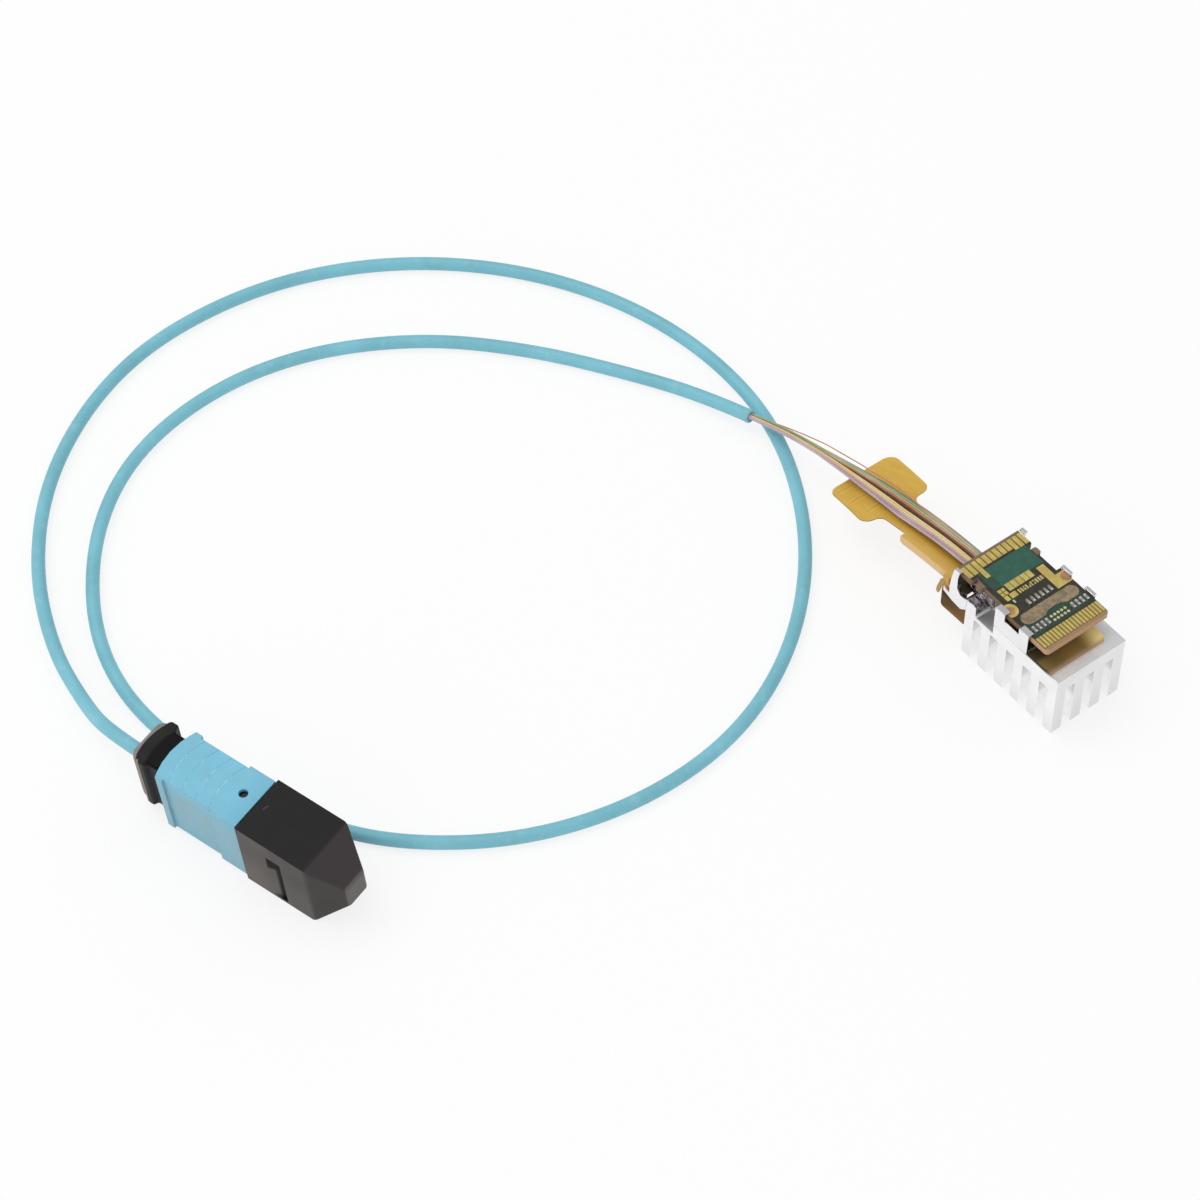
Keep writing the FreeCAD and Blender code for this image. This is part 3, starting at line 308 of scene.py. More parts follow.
class Finish(Nodes):
    """One procedural material on a Principled shader."""

    def __init__(self, name, **steady):
        self.material = bpy.data.materials.new(name)
        self.material.use_nodes = True
        super().__init__(self.material.node_tree)
        self.shader = self.tree.nodes["Principled BSDF"]
        self.paint(**steady)

    def parts(self, vector):
        """The three numbers of a vector."""
        split = self.node("ShaderNodeSeparateXYZ", None, {0: vector}).socket.node
        return [Value(self, socket) for socket in split.outputs]

    def place(self):
        """Place on the piece, in its own frame."""
        return self.node("ShaderNodeTexCoord", output=3)

    def spot(self):
        """Place on the piece as three numbers in millimetres."""
        return [part * (1 / MM) for part in self.parts(self.place())]

    def facing(self):
        """Direction of the surface as three numbers."""
        return self.parts(self.node("ShaderNodeNewGeometry", output=1))

    def noise(self, size, detail=3.0, stretch=(1, 1, 1)):
        """Cloudy value whose features are about as large as the size, in millimetres."""
        scaled = self.node("ShaderNodeVectorMath", {"operation": "MULTIPLY"}, {0: self.place(), 1: stretch})
        return self.node("ShaderNodeTexNoise", None,
                         {"Vector": scaled, "Scale": 1 / (size * MM), "Detail": detail})

    def rise(self, value, low, high):
        """0 below one level and 1 above another, smooth between them."""
        return self.node("ShaderNodeMapRange", {"interpolation_type": "SMOOTHSTEP"},
                         {0: value, 1: low, 2: high})

    def within(self, value, low, high, soft):
        """1 between two levels, with soft ends."""
        return self.rise(value, low - soft, low + soft) * (1 - self.rise(value, high - soft, high + soft))

    def mix(self, share, first, second):
        """Blend of two colours."""
        return self.node("ShaderNodeMix", {"data_type": "RGBA"}, {0: share, 6: first, 7: second}, output=2)

    def over(self, base, *layers):
        """A colour with others laid over it in turn, each by its own share."""
        for share, shade in layers:
            base = self.mix(share, base, shade)
        return base

    def shade(self, base, amount, value):
        """A colour made darker and lighter by a cloudy value."""
        darker = tuple(level * (1 - amount) for level in base)
        lighter = tuple(min(1.0, level * (1 + amount)) for level in base)
        return self.mix(self.rise(value, 0.3, 0.7), darker, lighter)

    def paint(self, **sockets):
        """Feed the shader's sockets."""
        for socket, value in sockets.items():
            self.feed(self.shader.inputs[socket.replace("_", " ")], value)
        return self.material

    def bump(self, height, distance, strength=0.5):
        """Surface relief, with its depth in millimetres."""
        return self.node("ShaderNodeBump", None,
                         {"Strength": strength, "Distance": distance * MM, "Height": height})


def satin_metal(name, base, rough, grain):
    """Metal with a fine blasted grain and a slightly uneven gloss."""
    finish = Finish(name, Metallic=1.0)
    cloud = finish.noise(2.2, 4.0)
    fine = finish.noise(grain, 2.0)
    return finish.paint(Base_Color=finish.shade(base, 0.03, cloud),
                        Roughness=rough + (cloud - 0.5) * 0.16 + (fine - 0.5) * 0.1,
                        Normal=finish.bump(fine, 0.012, 0.35))


def sink_finish(looks):
    """Blasted aluminium: bright between its pins, crinkled beside the lens block; painted shade under its
    plate, on its front and beside the tongue.
    """
    finish = Finish("blasted_aluminium")
    x, y, z = finish.spot()
    forward, _, upward = finish.facing()
    cloud = finish.noise(2.2, 4.0)
    fine = finish.noise(0.12, 2.0)
    crinkle = finish.rise(finish.noise(0.8, 3.0, (1, 1, 1.6)), 0.38, 0.66)
    ahead, aside, _ = reach("heat_sink")[1]
    outer = finish.rise(abs(y), aside - 0.085, aside - 0.025).higher(
        finish.rise(x, ahead - 0.075, ahead - 0.015))
    between = 1 - outer
    deep = between * (1 - finish.rise(z, 5.5, 8.5))
    # Painted shade: the tops of the gaps between the pins, under the plate, painted greyer.
    painted_gap_shade = between * finish.within(z, 5.3, 9.0, 0.5)
    # Painted shade: the front face, picked by the way it faces, painted greyer.
    front = finish.rise(x, 8.2, 8.3) * finish.rise(forward, 0.6, 0.8)
    # Painted shadow: a dark strip along the top's near edge beside the film's tongue.
    painted_tongue_shadow = (finish.rise(-y, 5.2, 5.3) * finish.rise(upward, 0.3, 0.6) * finish.rise(x, 1.6, 2.8)
             * (1 - finish.rise(x, 5.8, 7.8)))
    hollow = (finish.within(x, -9.8, -6.4, 0.06) * finish.rise(abs(y), 3.0, 3.2)
              * finish.rise(z, 8.35, 8.6) * finish.rise(forward.higher(upward), 0.5, 0.7))
    base = finish.over(finish.shade(looks.metal, 0.03, cloud),
                       (outer * (1 - finish.rise(z, 0.0, 5.0)), tone(239, 239, 238)),
                       (painted_gap_shade * 0.5, tone(200, 200, 205)),
                       (front * 0.6, tone(226, 226, 227)),
                       (painted_tongue_shadow * 0.9, tone(84, 80, 72)),
                       (hollow, finish.mix(crinkle, tone(134, 128, 128), tone(238, 232, 236))))
    return finish.paint(Base_Color=base,
                        Metallic=0.88 + deep * 0.12,
                        Roughness=(0.42 + (cloud - 0.5) * 0.16 + (fine - 0.5) * 0.1 - hollow * 0.15
                                   - deep * 0.2),
                        Normal=finish.bump(fine + hollow * crinkle * 4, 0.012, 0.35))


def steel_finish(looks):
    """Bright sheet steel, rougher and with painted shade on the edge that lies behind the heat sink."""
    finish = Finish("sheet_steel", Metallic=1.0)
    x, y, z = finish.spot()
    cloud = finish.noise(2.2, 4.0)
    fine = finish.noise(0.2, 2.0)
    # Painted shade: the latch's edge behind the heat sink, painted dark grey and made rougher.
    dull = (finish.within(x, -8.7, -8.3, 0.03) * finish.rise(z, 9.7, 9.78)
            * (1 - finish.rise(abs(y), 5.25, 5.33)))
    return finish.paint(Base_Color=finish.mix(dull, finish.shade(looks.steel, 0.03, cloud),
                                              tone(96, 92, 92)),
                        Roughness=0.24 + (cloud - 0.5) * 0.16 + (fine - 0.5) * 0.1 + dull * 0.3,
                        Normal=finish.bump(fine, 0.012, 0.3))


def dark_plate():
    """Dark plated cover with a wavy, glossy surface."""
    finish = Finish("dark_plate", Metallic=1.0)
    wave = finish.noise(0.9, 2.0)
    cloud = finish.noise(0.5, 4.0)
    plated = finish.mix(finish.rise(cloud, 0.4, 0.62), tone(36, 34, 34), tone(160, 154, 156))
    return finish.paint(Base_Color=plated,
                        Roughness=0.14 + (cloud - 0.5) * 0.12,
                        Normal=finish.bump(wave, 0.35, 0.8))


def moulded(name, base, rough, grain=0.16, relief=0.02):
    """Moulded plastic with a fine eroded grain."""
    finish = Finish(name)
    cloud = finish.noise(3.0, 4.0)
    fine = finish.noise(grain, 2.0)
    return finish.paint(Base_Color=finish.shade(base, 0.09, cloud),
                        Roughness=rough + (cloud - 0.5) * 0.2,
                        Normal=finish.bump(fine, relief, 0.4))


def film_tongue_light_and_shade(finish, x, y):
    """Painted light and shade on the film's tongue: shadow under the board, a highlight on its far side, a
    reflection at its tip.
    """
    painted_nook_shadow = (1 - finish.rise(x, 3.9, 4.9)) * finish.rise(-y, 2.0, 4.0)
    return finish.over(finish.mix(finish.rise(y, 0.6, 3.4), tone(142, 114, 66), tone(255, 230, 156)),
                       (finish.rise(-y, 1.0, 3.6), tone(126, 104, 62)),
                       (painted_nook_shadow * 0.8, tone(56, 52, 36)),
                       (finish.rise(x, 6.1, 6.9) * 0.8, tone(172, 146, 126)),
                       (finish.rise(x, 6.9, 7.12) * 0.8, tone(226, 216, 210)))


def film_flap_shade(finish, x, z, streak):
    """Painted shade on the flap that hangs on the film's near side: dark brown low down, pale along its fold.
    """
    lower = finish.rise(x * 0.5 - z * 0.6, -10.2, -7.4)
    return finish.over(finish.mix(lower, tone(62, 44, 22), tone(122, 84, 32)),
                       (finish.rise(z, 7.3, 8.0), tone(206, 160, 92)),
                       (finish.rise(streak, 0.4, 0.7) * 0.3, tone(176, 124, 48)))


def film_finish(looks):
    """Amber film: streaked, creased on its near lobe, paler on its folded wing, with painted shade and
    painted highlights.
    """
    finish = Finish("amber_film", IOR=1.5, Specular_IOR_Level=0.06, Coat_Roughness=0.14)
    x, y, z = finish.spot()
    cloud = finish.noise(4.0, 3.0)
    streak = finish.noise(1.2, 3.0, (0.25, 1.6, 1))
    marks = finish.rise(finish.noise(0.8, 5.0), 0.58, 0.74)
    glint = finish.rise(finish.noise(0.7, 4.0, (1.4, 0.4, 1)), 0.5, 0.66)
    pitch = 2.85
    off_crease = abs((x + 58.42) % pitch - pitch / 2)
    # Painted shade in the creases of the near lobe, and a painted highlight beside each crease.
    crease_light_zone = finish.within(x, -35.0, -27.6, 0.3) * finish.within(y, -4.7, -1.9, 0.5)
    # Painted shade: the stem beside the ribbon, painted a darker gold.
    inner = finish.rise(y, -3.5, -2.4) * finish.within(x, -24.5, -8.0, 1.5)
    sheen = finish.within(y, -4.7, -3.4, 0.4) * finish.within(x, -25.0, -11.0, 1.5)
    wing = finish.within(x, -22.2, -13.2, 0.1) * (1 - finish.rise(y, -4.75, -4.6))
    flap = finish.within(x, -13.3, -8.8, 0.1) * (1 - finish.rise(y, -5.12, -5.0))
    # Painted shade in the hollow by the latch, dark grey with painted glints.
    hollow = finish.within(x, -12.1, -8.0, 0.3) * finish.within(y, -5.4, -1.0, 0.2) * finish.rise(z, 8.9, 9.2)
    rim = (1 - finish.rise(abs(finish.facing()[2]), 0.55, 0.9)) * (1 - finish.rise(x, -22.4, -22.0))
    # Painted reflection of the loose strand: an orange line across the near lobe.
    painted_strand_reflection = finish.within(y + x * 0.03, 0.23, 0.47, 0.08) * finish.within(x, -36.0, -25.6, 0.2)
    body = finish.over(looks.film,
                       (finish.rise(streak, 0.35, 0.75) * 0.3, tone(192, 144, 50)),
                       (marks * 0.15, tone(236, 200, 104)),
                       (crease_light_zone * (1 - finish.rise(off_crease, 0.06, 0.22)) * 0.24, tone(160, 122, 36)),
                       (crease_light_zone * finish.within(off_crease, 0.2, 0.45, 0.1) * 0.25, tone(232, 198, 112)),
                       (inner * 0.6, tone(184, 130, 36)),
                       (sheen * 0.18, tone(206, 180, 130)),
                       (wing, tone(228, 188, 134)),
                       (flap, film_flap_shade(finish, x, z, streak)),
                       (finish.rise(x, -4.0, -2.0), film_tongue_light_and_shade(finish, x, y)),
                       (hollow * 0.96, finish.mix(glint * 0.6, tone(36, 38, 36), tone(166, 166, 162))),
                       (rim * 0.8, tone(112, 88, 52)),
                       (painted_strand_reflection * 0.65, tone(228, 142, 34)))
    return finish.paint(Base_Color=body,
                        Roughness=0.32 + (cloud - 0.5) * 0.2 + marks * 0.08,
                        Coat_Weight=(0.26 + (cloud - 0.5) * 0.2) * (1 - flap.higher(hollow)),
                        Normal=finish.bump(streak + marks * 0.3, 0.05, 0.25))


def board_face(finish, looks, x, y, cloud, weave):
    """Shade of the board's faces: dark mask, teal fields, brown round the contacts, bare margins."""
    contacts_start, contacts_end = (corner.x for corner in reach("front_contacts"))
    fingers = finish.within(x, contacts_start, contacts_end, 0.05)
    rear = finish.within(x, -10.78, reach("rear_contacts")[0].x + 1.5, 0.05)
    field = finish.within(x, -8.92, -5.46, 0.05) * finish.within(y, -2.56, 4.05, 0.05)
    lobe = finish.within(x, -8.8, -5.66, 0.06) * finish.within(y, -3.8, -2.65, 0.06)
    front = finish.within(x, 0.6, 2.9, 0.3) * finish.within(y, -4.6, 4.7, 0.2)
    dash = finish.within((y + 20) % 0.4, 0.07, 0.33, 0.03) * finish.rise(finish.noise(0.5, 2.0), 0.36, 0.42)
    row = finish.within(x, -4.05, -3.38, 0.03) * finish.within(y, -1.65, 2.5, 0.03)
    mark = finish.within(x, -3.12, -2.62, 0.04) * finish.within(y, -3.08, -2.88, 0.04)
    ears = finish.within(x, -7.95, -6.7, 0.03) * finish.rise(abs(y), 4.15, 4.3)
    margin = 1 - finish.rise(x, -10.84, -10.76)
    sides = finish.rise(abs(y), 4.86, 4.94) * (1 - finish.rise(x, -8.9, -8.5))
    dark = finish.shade(looks.mask, 0.22, cloud)
    teal = finish.shade(looks.field, 0.1, cloud)
    return finish.over(dark,
                       (front * 0.8, finish.mix(0.5, teal, dark)),
                       (field.higher(lobe * 0.55), teal),
                       ((fingers * 0.75).higher(rear * 0.6), tone(122, 98, 50)),
                       (row * dash, tone(196, 176, 108)),
                       (mark, tone(214, 210, 192)),
                       (ears.higher(margin).higher(sides), finish.shade(looks.laminate, 0.16, weave)),
                       (finish.rise(x, 4.96, 5.04), finish.shade(tone(158, 126, 94), 0.16, weave)))


def board_edge(finish, looks, x, z, weave):
    """Shade of the board's cut edges: thin layers, with painted shade towards the rear."""
    layers = finish.within((z - 12.03) % 0.3, 0.06, 0.14, 0.03)
    # Painted shade: the edges towards the rear are painted dark brown.
    return finish.over(finish.shade(looks.edge, 0.14, weave),
                       (layers * 0.6, tone(204, 152, 120)),
                       ((1 - finish.rise(x, 1.8, 2.6)) * 0.75, tone(80, 67, 56)))


def board_finish(looks):
    """Printed board: solder mask on its faces, bare laminate at its edges."""
    finish = Finish("printed_board", IOR=1.5)
    x, y, z = finish.spot()
    flat = finish.rise(abs(finish.facing()[2]), 0.55, 0.8)
    cloud = finish.noise(0.9, 4.0)
    weave = finish.noise(0.12, 2.0)
    edge = board_edge(finish, looks, x, z, weave)
    face = board_face(finish, looks, x, y, cloud, weave)
    return finish.paint(Base_Color=finish.mix(flat, edge, face),
                        Roughness=0.62 - flat * 0.26 + (cloud - 0.5) * 0.15,
                        Normal=finish.bump(weave, 0.01, 0.3))


def gold_finish(name, base):
    """Gold plate with faint rolling marks."""
    finish = Finish(name, Metallic=1.0)
    cloud = finish.noise(0.7, 3.0)
    rolled = finish.noise(0.1, 2.0, (0.2, 1.5, 1))
    return finish.paint(Base_Color=finish.shade(base, 0.1, cloud),
                        Roughness=0.36 + (cloud - 0.5) * 0.2 + (rolled - 0.5) * 0.12,
                        Normal=finish.bump(rolled, 0.006, 0.3))


def ringed_gold_finish(looks, middle, radius):
    """Gold pad with a bare coppery spot in it."""
    finish = Finish("ringed_gold")
    x, y, _ = finish.spot()
    off = (x - middle[0]) * (x - middle[0]) + (y - middle[1]) * (y - middle[1])
    spot = 1 - finish.rise(off, (radius - 0.04) ** 2, (radius + 0.04) ** 2)
    cloud = finish.noise(0.7, 3.0)
    return finish.paint(Base_Color=finish.mix(spot, finish.shade(looks.gold, 0.1, cloud),
                                              finish.shade(tone(180, 138, 98), 0.2, cloud)),
                        Metallic=1 - spot * 0.8,
                        Roughness=0.36 + spot * 0.2 + (cloud - 0.5) * 0.2)


def chip_finish():
    """Chip capacitors: ceramic middles between bright tinned ends, less metallic and with painted shade at
    the rear of the middle row.
    """
    finish = Finish("chip_capacitor")
    x, _, _ = finish.spot()
    cloud = finish.noise(0.3, 3.0)
    front = abs(x - 2.08)
    rear = abs(x + 1.68)
    tinned = finish.rise(front.lower(rear), 0.2, 0.24)
    # Painted shade: the rear tinned ends of the middle row, painted grey and made less metallic.
    dull = 1 - finish.rise(x, -1.9, -1.84)
    ends = finish.mix(dull, tone(246, 246, 242), tone(134, 130, 122))
    return finish.paint(Base_Color=finish.mix(tinned, finish.shade(tone(150, 144, 132), 0.2, cloud), ends),
                        Metallic=tinned * (0.95 - dull * 0.5),
                        Roughness=0.45 - tinned * 0.15 + (cloud - 0.5) * 0.15)


def resin_finish(looks):
    """Cured resin: tan and cloudy, with the green board showing through thin spots."""
    finish = Finish("sealing_resin", IOR=1.5)
    cloud = finish.noise(0.5, 5.0)
    thin = finish.rise(finish.noise(1.1, 5.0), 0.5, 0.62)
    body = finish.shade(looks.resin, 0.22, cloud)
    return finish.paint(Base_Color=finish.mix(thin * 0.6, body, tone(92, 100, 78)),
                        Roughness=0.48 + (cloud - 0.5) * 0.2,
                        Normal=finish.bump(cloud, 0.03, 0.4))


def fibre_finish():
    """Coated fibres: each strand keeps its own colour, with a thin glossy coat."""
    finish = Finish("coated_fibre", IOR=1.5, Coat_Roughness=0.15)
    own = finish.node("ShaderNodeVertexColor", {"layer_name": "strand"})
    cloud = finish.noise(1.6, 3.0, (0.3, 1, 1))
    paler = finish.mix(0.25, own, tone(235, 228, 214))
    light = finish.rise(finish.node("ShaderNodeRGBToBW", None, {0: own}), 0.03, 0.2)
    return finish.paint(Base_Color=finish.mix(finish.rise(cloud, 0.35, 0.7) * light, own, paler),
                        Roughness=0.34 + (cloud - 0.5) * 0.15,
                        Coat_Weight=0.3 + (cloud - 0.5) * 0.2)


def jacket_finish(looks):
    """Aqua cable jacket: fine extrusion grain, slight unevenness and a dusty bloom."""
    finish = Finish("aqua_jacket", IOR=1.5)
    cloud = finish.noise(6.0, 3.0)
    fine = finish.noise(0.18, 2.0)
    bloom = finish.rise(finish.noise(1.1, 5.0), 0.52, 0.72)
    base = finish.shade(looks.jacket, 0.06, cloud)
    return finish.paint(Base_Color=finish.mix(bloom * 0.18, base, tone(176, 214, 222)),
                        Roughness=0.48 + (cloud - 0.5) * 0.16 + bloom * 0.06,
                        Normal=finish.bump(fine, 0.015, 0.35))


def bowed(s, v, half):
    """Place along the plug, measured along lines that bow across it as its rear edge does."""
    bow = 0.8
    return s + bow * (1 - v * v * (1 / half ** 2))


def sleeve_finish(looks):
    """Aqua sleeve: clean on top with pale grip lines, dulled by handling on its wide sides; painted highlight
    on its rear edge, painted shadow of the cap at its front.
    """
    finish = Finish("aqua_sleeve", IOR=1.5)
    s, v, w = finish.spot()
    cloud = finish.noise(3.5, 4.0)
    fine = finish.noise(0.16, 2.0)
    side = finish.rise(abs(v), 3.4, 3.48)
    rubbed = finish.rise(finish.noise(1.0, 5.0, (1.6, 1, 0.5)), 0.4, 0.62)
    along = bowed(s, v, 3.5)
    lines = finish.within((along + 10.8) % 2.1, 0.0, 0.14, 0.06) * finish.within(along, -11.0, -4.0, 0.1)
    broken = finish.rise(finish.noise(0.5, 3.0), 0.42, 0.58) * (1 - finish.rise(abs(v + 0.6), 1.4, 2.8))
    # Painted highlight: a pale line along the top's rear edge.
    painted_rim_highlight = 1 - finish.rise(along, -12.95, -12.85)
    pale = finish.rise(w, 5.1, 5.16) * (lines * (0.08 + 0.5 * broken)).higher(painted_rim_highlight * 0.45)
    worn = side * (1 - 0.65 * finish.rise(w, 2.6, 5.2))
    dull = finish.mix(rubbed * 0.8, finish.shade(looks.worn, 0.06, cloud), tone(122, 182, 202))
    # Painted shadow of the cap: the sleeve is painted darker towards its front.
    base = finish.over(finish.shade(looks.sleeve, 0.05, cloud),
                       (finish.rise(s, -4.0, -1.5) * 0.35, tone(100, 176, 204)),
                       (pale, tone(206, 238, 246)),
                       (worn, dull))
    return finish.paint(Base_Color=base,
                        Roughness=0.42 + side * 0.14 + (cloud - 0.5) * 0.16,
                        Normal=finish.bump(fine + rubbed * side * 0.6, 0.02, 0.4))


def boot_finish(looks):
    """Black boot with a pale rear rim, painted shade on its neck and a painted highlight along the near edge
    of its flange.
    """
    finish = Finish("boot_plastic", IOR=1.5, Specular_IOR_Level=0.12)
    s, v, _ = finish.spot()
    cloud = finish.noise(2.0, 4.0)
    fine = finish.noise(0.16, 2.0)
    along = bowed(s, v, 3.4)
    # Painted shade: the neck between the flange and the sleeve, painted near black.
    neck = finish.rise(along, -15.2, -14.6)
    # Painted highlight: a tan band along the near rear edge of the flange.
    edge = finish.within(along, -16.62, -15.98, 0.06) * finish.rise(-v, 2.75, 2.95)
    rear = 1 - finish.rise(along, -16.62, -16.48)
    base = finish.over(finish.shade(looks.boot, 0.16, cloud),
                       (neck, tone(12, 12, 12)),
                       (edge, finish.shade(tone(150, 132, 118), 0.1, cloud)),
                       (rear, finish.shade(looks.rim, 0.1, cloud)))
    return finish.paint(Base_Color=base,
                        Roughness=0.46 + (cloud - 0.5) * 0.2,
                        Normal=finish.bump(fine, 0.02, 0.4))


def cap_finish(looks):
    """Black cap: painted shade deep in its finger pockets, browner on its wide sides, painted light on its
    nose's facets, paler at its tip, with one nick.
    """
    finish = Finish("cap_plastic", IOR=1.5, Specular_IOR_Level=0.2)
    s, v, w = finish.spot()
    upward = finish.facing()[2]
    cloud = finish.noise(3.0, 4.0)
    fine = finish.noise(0.14, 2.0)
    pocket = finish.within(s, 4.28, 6.42, 0.02) * finish.within(w, -5.25, 3.15, 0.02)
    # Painted shade: the deep ends of the finger pockets, painted near black.
    dark = (pocket * finish.rise(abs(v), 3.4, 3.5)
            * finish.rise(w, 0.6, 1.3).higher(finish.rise(s, 5.1, 5.6)))
    flank = finish.rise(abs(v), 3.3, 3.5) * (1 - finish.rise(abs(upward), 0.3, 0.6))
    side = finish.over(finish.shade(looks.dust, 0.12, cloud),
                       (finish.rise(s, 2.0, 8.0) * 0.58, tone(54, 51, 48)),
                       (finish.rise(w, -4.5, 2.0) * 0.5, tone(40, 38, 36)))
    # Painted light: the nose's upward facets are lighter than its side facets.
    painted_nose_light = finish.mix(finish.rise(upward, 0.1, 0.5), tone(55, 51, 50), tone(64, 58, 60))
    nose = finish.mix(finish.rise(s, 14.1, 14.35), painted_nose_light, tone(96, 92, 90))
    nick = (finish.within(s - (v + 0.14) * (v + 0.14) * 0.54, 1.12, 1.24, 0.03)
            * finish.within(v, -0.2, 0.6, 0.05) * finish.rise(w, 5.6, 5.7))
    base = finish.over(finish.shade(looks.cap, 0.14, cloud),
                       (flank, side),
                       (finish.rise(s, 10.1, 10.7), nose),
                       (nick * 0.4, tone(116, 110, 108)),
                       (dark, tone(9, 8, 8)))
    return finish.paint(Base_Color=base,
                        Roughness=0.46 + (cloud - 0.5) * 0.2 + dark * 0.3,
                        Normal=finish.bump(fine, 0.02, 0.4))


def floor_finish(looks):
    """Pale floor that shows white to the camera and in reflections, and keeps a soft shadow."""
    finish = Finish("pale_floor", Base_Color=looks.floor, Roughness=0.9, Specular_IOR_Level=0.0)
    path = finish.light_path()
    seen = path["Is Camera Ray"].higher(path["Is Glossy Ray"]).higher(path["Is Transmission Ray"])
    glow = finish.node("ShaderNodeEmission", None, {"Color": (1, 1, 1), "Strength": 1.0})
    lit = Value(finish, finish.shader.outputs[0])
    both = finish.node("ShaderNodeMixShader", None, {0: seen * 0.8, 1: lit, 2: glow})
    finish.feed(finish.tree.nodes["Material Output"].inputs[0], both)
    return finish.material


def plug_frame():
    """Frame of the plug: on the cable's end, along its last run, rolled about that line."""
    looks = bpy.context.scene.plug_looks
    last = Vector(JACKET_ROUTE[-1]) * MM
    axis = (last - Vector(JACKET_ROUTE[-2]) * MM).normalized()
    turn = Matrix.Rotation(math.atan2(axis.y, axis.x), 4, "Z") @ Matrix.Rotation(looks.roll, 4, "X")
    return Matrix.Translation(last + axis * looks.seat) @ turn


def new_piece(name, form, material, body="cable", stand=None):
    """Object from a bmesh, in its frame, riding on a body."""
    data = bpy.data.meshes.new(name)
    form.to_mesh(data)
    form.free()
    data.materials.append(material)
    piece = bpy.data.objects.new(name, data)
    bpy.context.scene.collection.objects.link(piece)
    if stand is not None:
        piece.matrix_world = stand
    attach(piece, body)
    return piece


def smooth(piece, angle=40):
    """Smooth shading up to an angle, with flat faces kept flat."""
    data = piece.data
    data.shade_smooth()
    data.set_sharp_from_angle(angle=math.radians(angle))
    even = piece.modifiers.new("even_normals", "WEIGHTED_NORMAL")
    even.keep_sharp = True
    return piece


def rounded_outline(width, height, corner, steps=8):
    """Points round a rectangle with rounded corners, the same number whatever its size."""
    points = []
    for number, (side, top) in enumerate(((1, 1), (-1, 1), (-1, -1), (1, -1))):
        for step in range(steps):
            turn = math.pi / 2 * (number + step / (steps - 1))
            points.append((side * (width / 2 - corner) + corner * math.cos(turn),
                           top * (height / 2 - corner) + corner * math.sin(turn)))
    return points


def join_rings(form, rings, closed=False):
    """Faces between rings of vertices that follow each other."""
    after = rings[1:] + rings[:1] if closed else rings[1:]
    for first, second in zip(rings, after):
        for here in range(len(first)):
            there = (here + 1) % len(first)
            form.faces.new((first[here], first[there], second[there], second[here]))


def capped_rings(form, rings):
    """Closed form through rings of vertices, with a face on each end."""
    join_rings(form, rings)
    form.faces.new(rings[0][::-1])
    form.faces.new(rings[-1])


def rounded_edges(form, width, segments, wanted=lambda edge: True):
    """Round the sharp edges of a form."""
    edges = [edge for edge in form.edges
             if len(edge.link_faces) == 2 and edge.calc_face_angle() > SHARP_ANGLE and wanted(edge)]
    bmesh.ops.bevel(form, geom=edges, offset=width, offset_type="OFFSET", segments=segments, profile=0.5,
                    affect="EDGES", clamp_overlap=True)


def dressed(node, name, material, *rounds, stand=None, slot=None):
    """Piece in the shape of a solid, and in its place, with its edges rounded.

    Each rounding is a width, a number of segments and, where only some edges take it, a test of an edge.
    """
    form = bmesh.new()
    form.from_mesh(frame["nodes"][node].data)
    if stand is not None:
        form.transform(stand.inverted())
    bmesh.ops.remove_doubles(form, verts=form.verts, dist=WELD)
    bmesh.ops.dissolve_limit(form, angle_limit=FLAT_ANGLE, verts=form.verts, edges=form.edges)
    for rounding in rounds:
        rounded_edges(form, *rounding)
    piece = new_piece(name, form, material, frame["nodes"][node]["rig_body"], stand)
    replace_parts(piece, node)
    return smooth(piece)


def painted(material, *nodes):
    """Finish on solids that are shown as they are."""
    for node in nodes:
        data = frame["nodes"][node].data
        data.materials.clear()
        data.materials.append(material)


def route_curve(name, route, width):
    """Smooth curve with a route's points as its control points."""
    data = bpy.data.curves.new(name, "CURVE")
    data.dimensions = "3D"
    data.resolution_u = 10
    data.bevel_depth = width / 2
    data.bevel_resolution = 6
    data.use_fill_caps = width > 0
    spline = data.splines.new("NURBS")
    spline.points.add(len(route) - 1)
    for point, place in zip(spline.points, route):
        point.co = (*(Vector(place) * MM), 1.0)
    spline.order_u = 3
    spline.use_endpoint_u = True
    piece = bpy.data.objects.new(name, data)
    bpy.context.scene.collection.objects.link(piece)
    return piece


def route_line(route):
    """Points along a route's smooth curve."""
    holder = route_curve("route_line", route, 0)
    bpy.context.view_layer.update()
    line = bpy.data.meshes.new_from_object(holder)
    points = [vertex.co.copy() for vertex in line.vertices]
    bpy.data.meshes.remove(line)
    data = holder.data
    bpy.data.objects.remove(holder)
    bpy.data.curves.remove(data)
    return points


class CABLE_OT_heat_sink(Operator):
    """Heat sink with rounded edges and a blasted finish"""
    bl_idname = "optical_cable.heat_sink"
    bl_label = "Heat Sink"

    def execute(self, context):
        looks = context.scene.module_looks
        dressed("heat_sink", "finned_sink", sink_finish(looks), (looks.sink_round, 2), slot="heat_sink")
        return {"FINISHED"}


class CABLE_OT_clip(Operator):
    """Clip and latch of bright sheet steel"""
    bl_idname = "optical_cable.clip"
    bl_label = "Clip and Latch"

    def execute(self, context):
        looks = context.scene.module_looks
        steel = steel_finish(looks)
        dressed("retaining_clip", "sheet_clip", steel, (looks.sheet_round, 2), slot="spring_steel")
        dressed("rear_latch", "sheet_latch", steel, (looks.sheet_round, 2), slot="spring_steel")
        return {"FINISHED"}


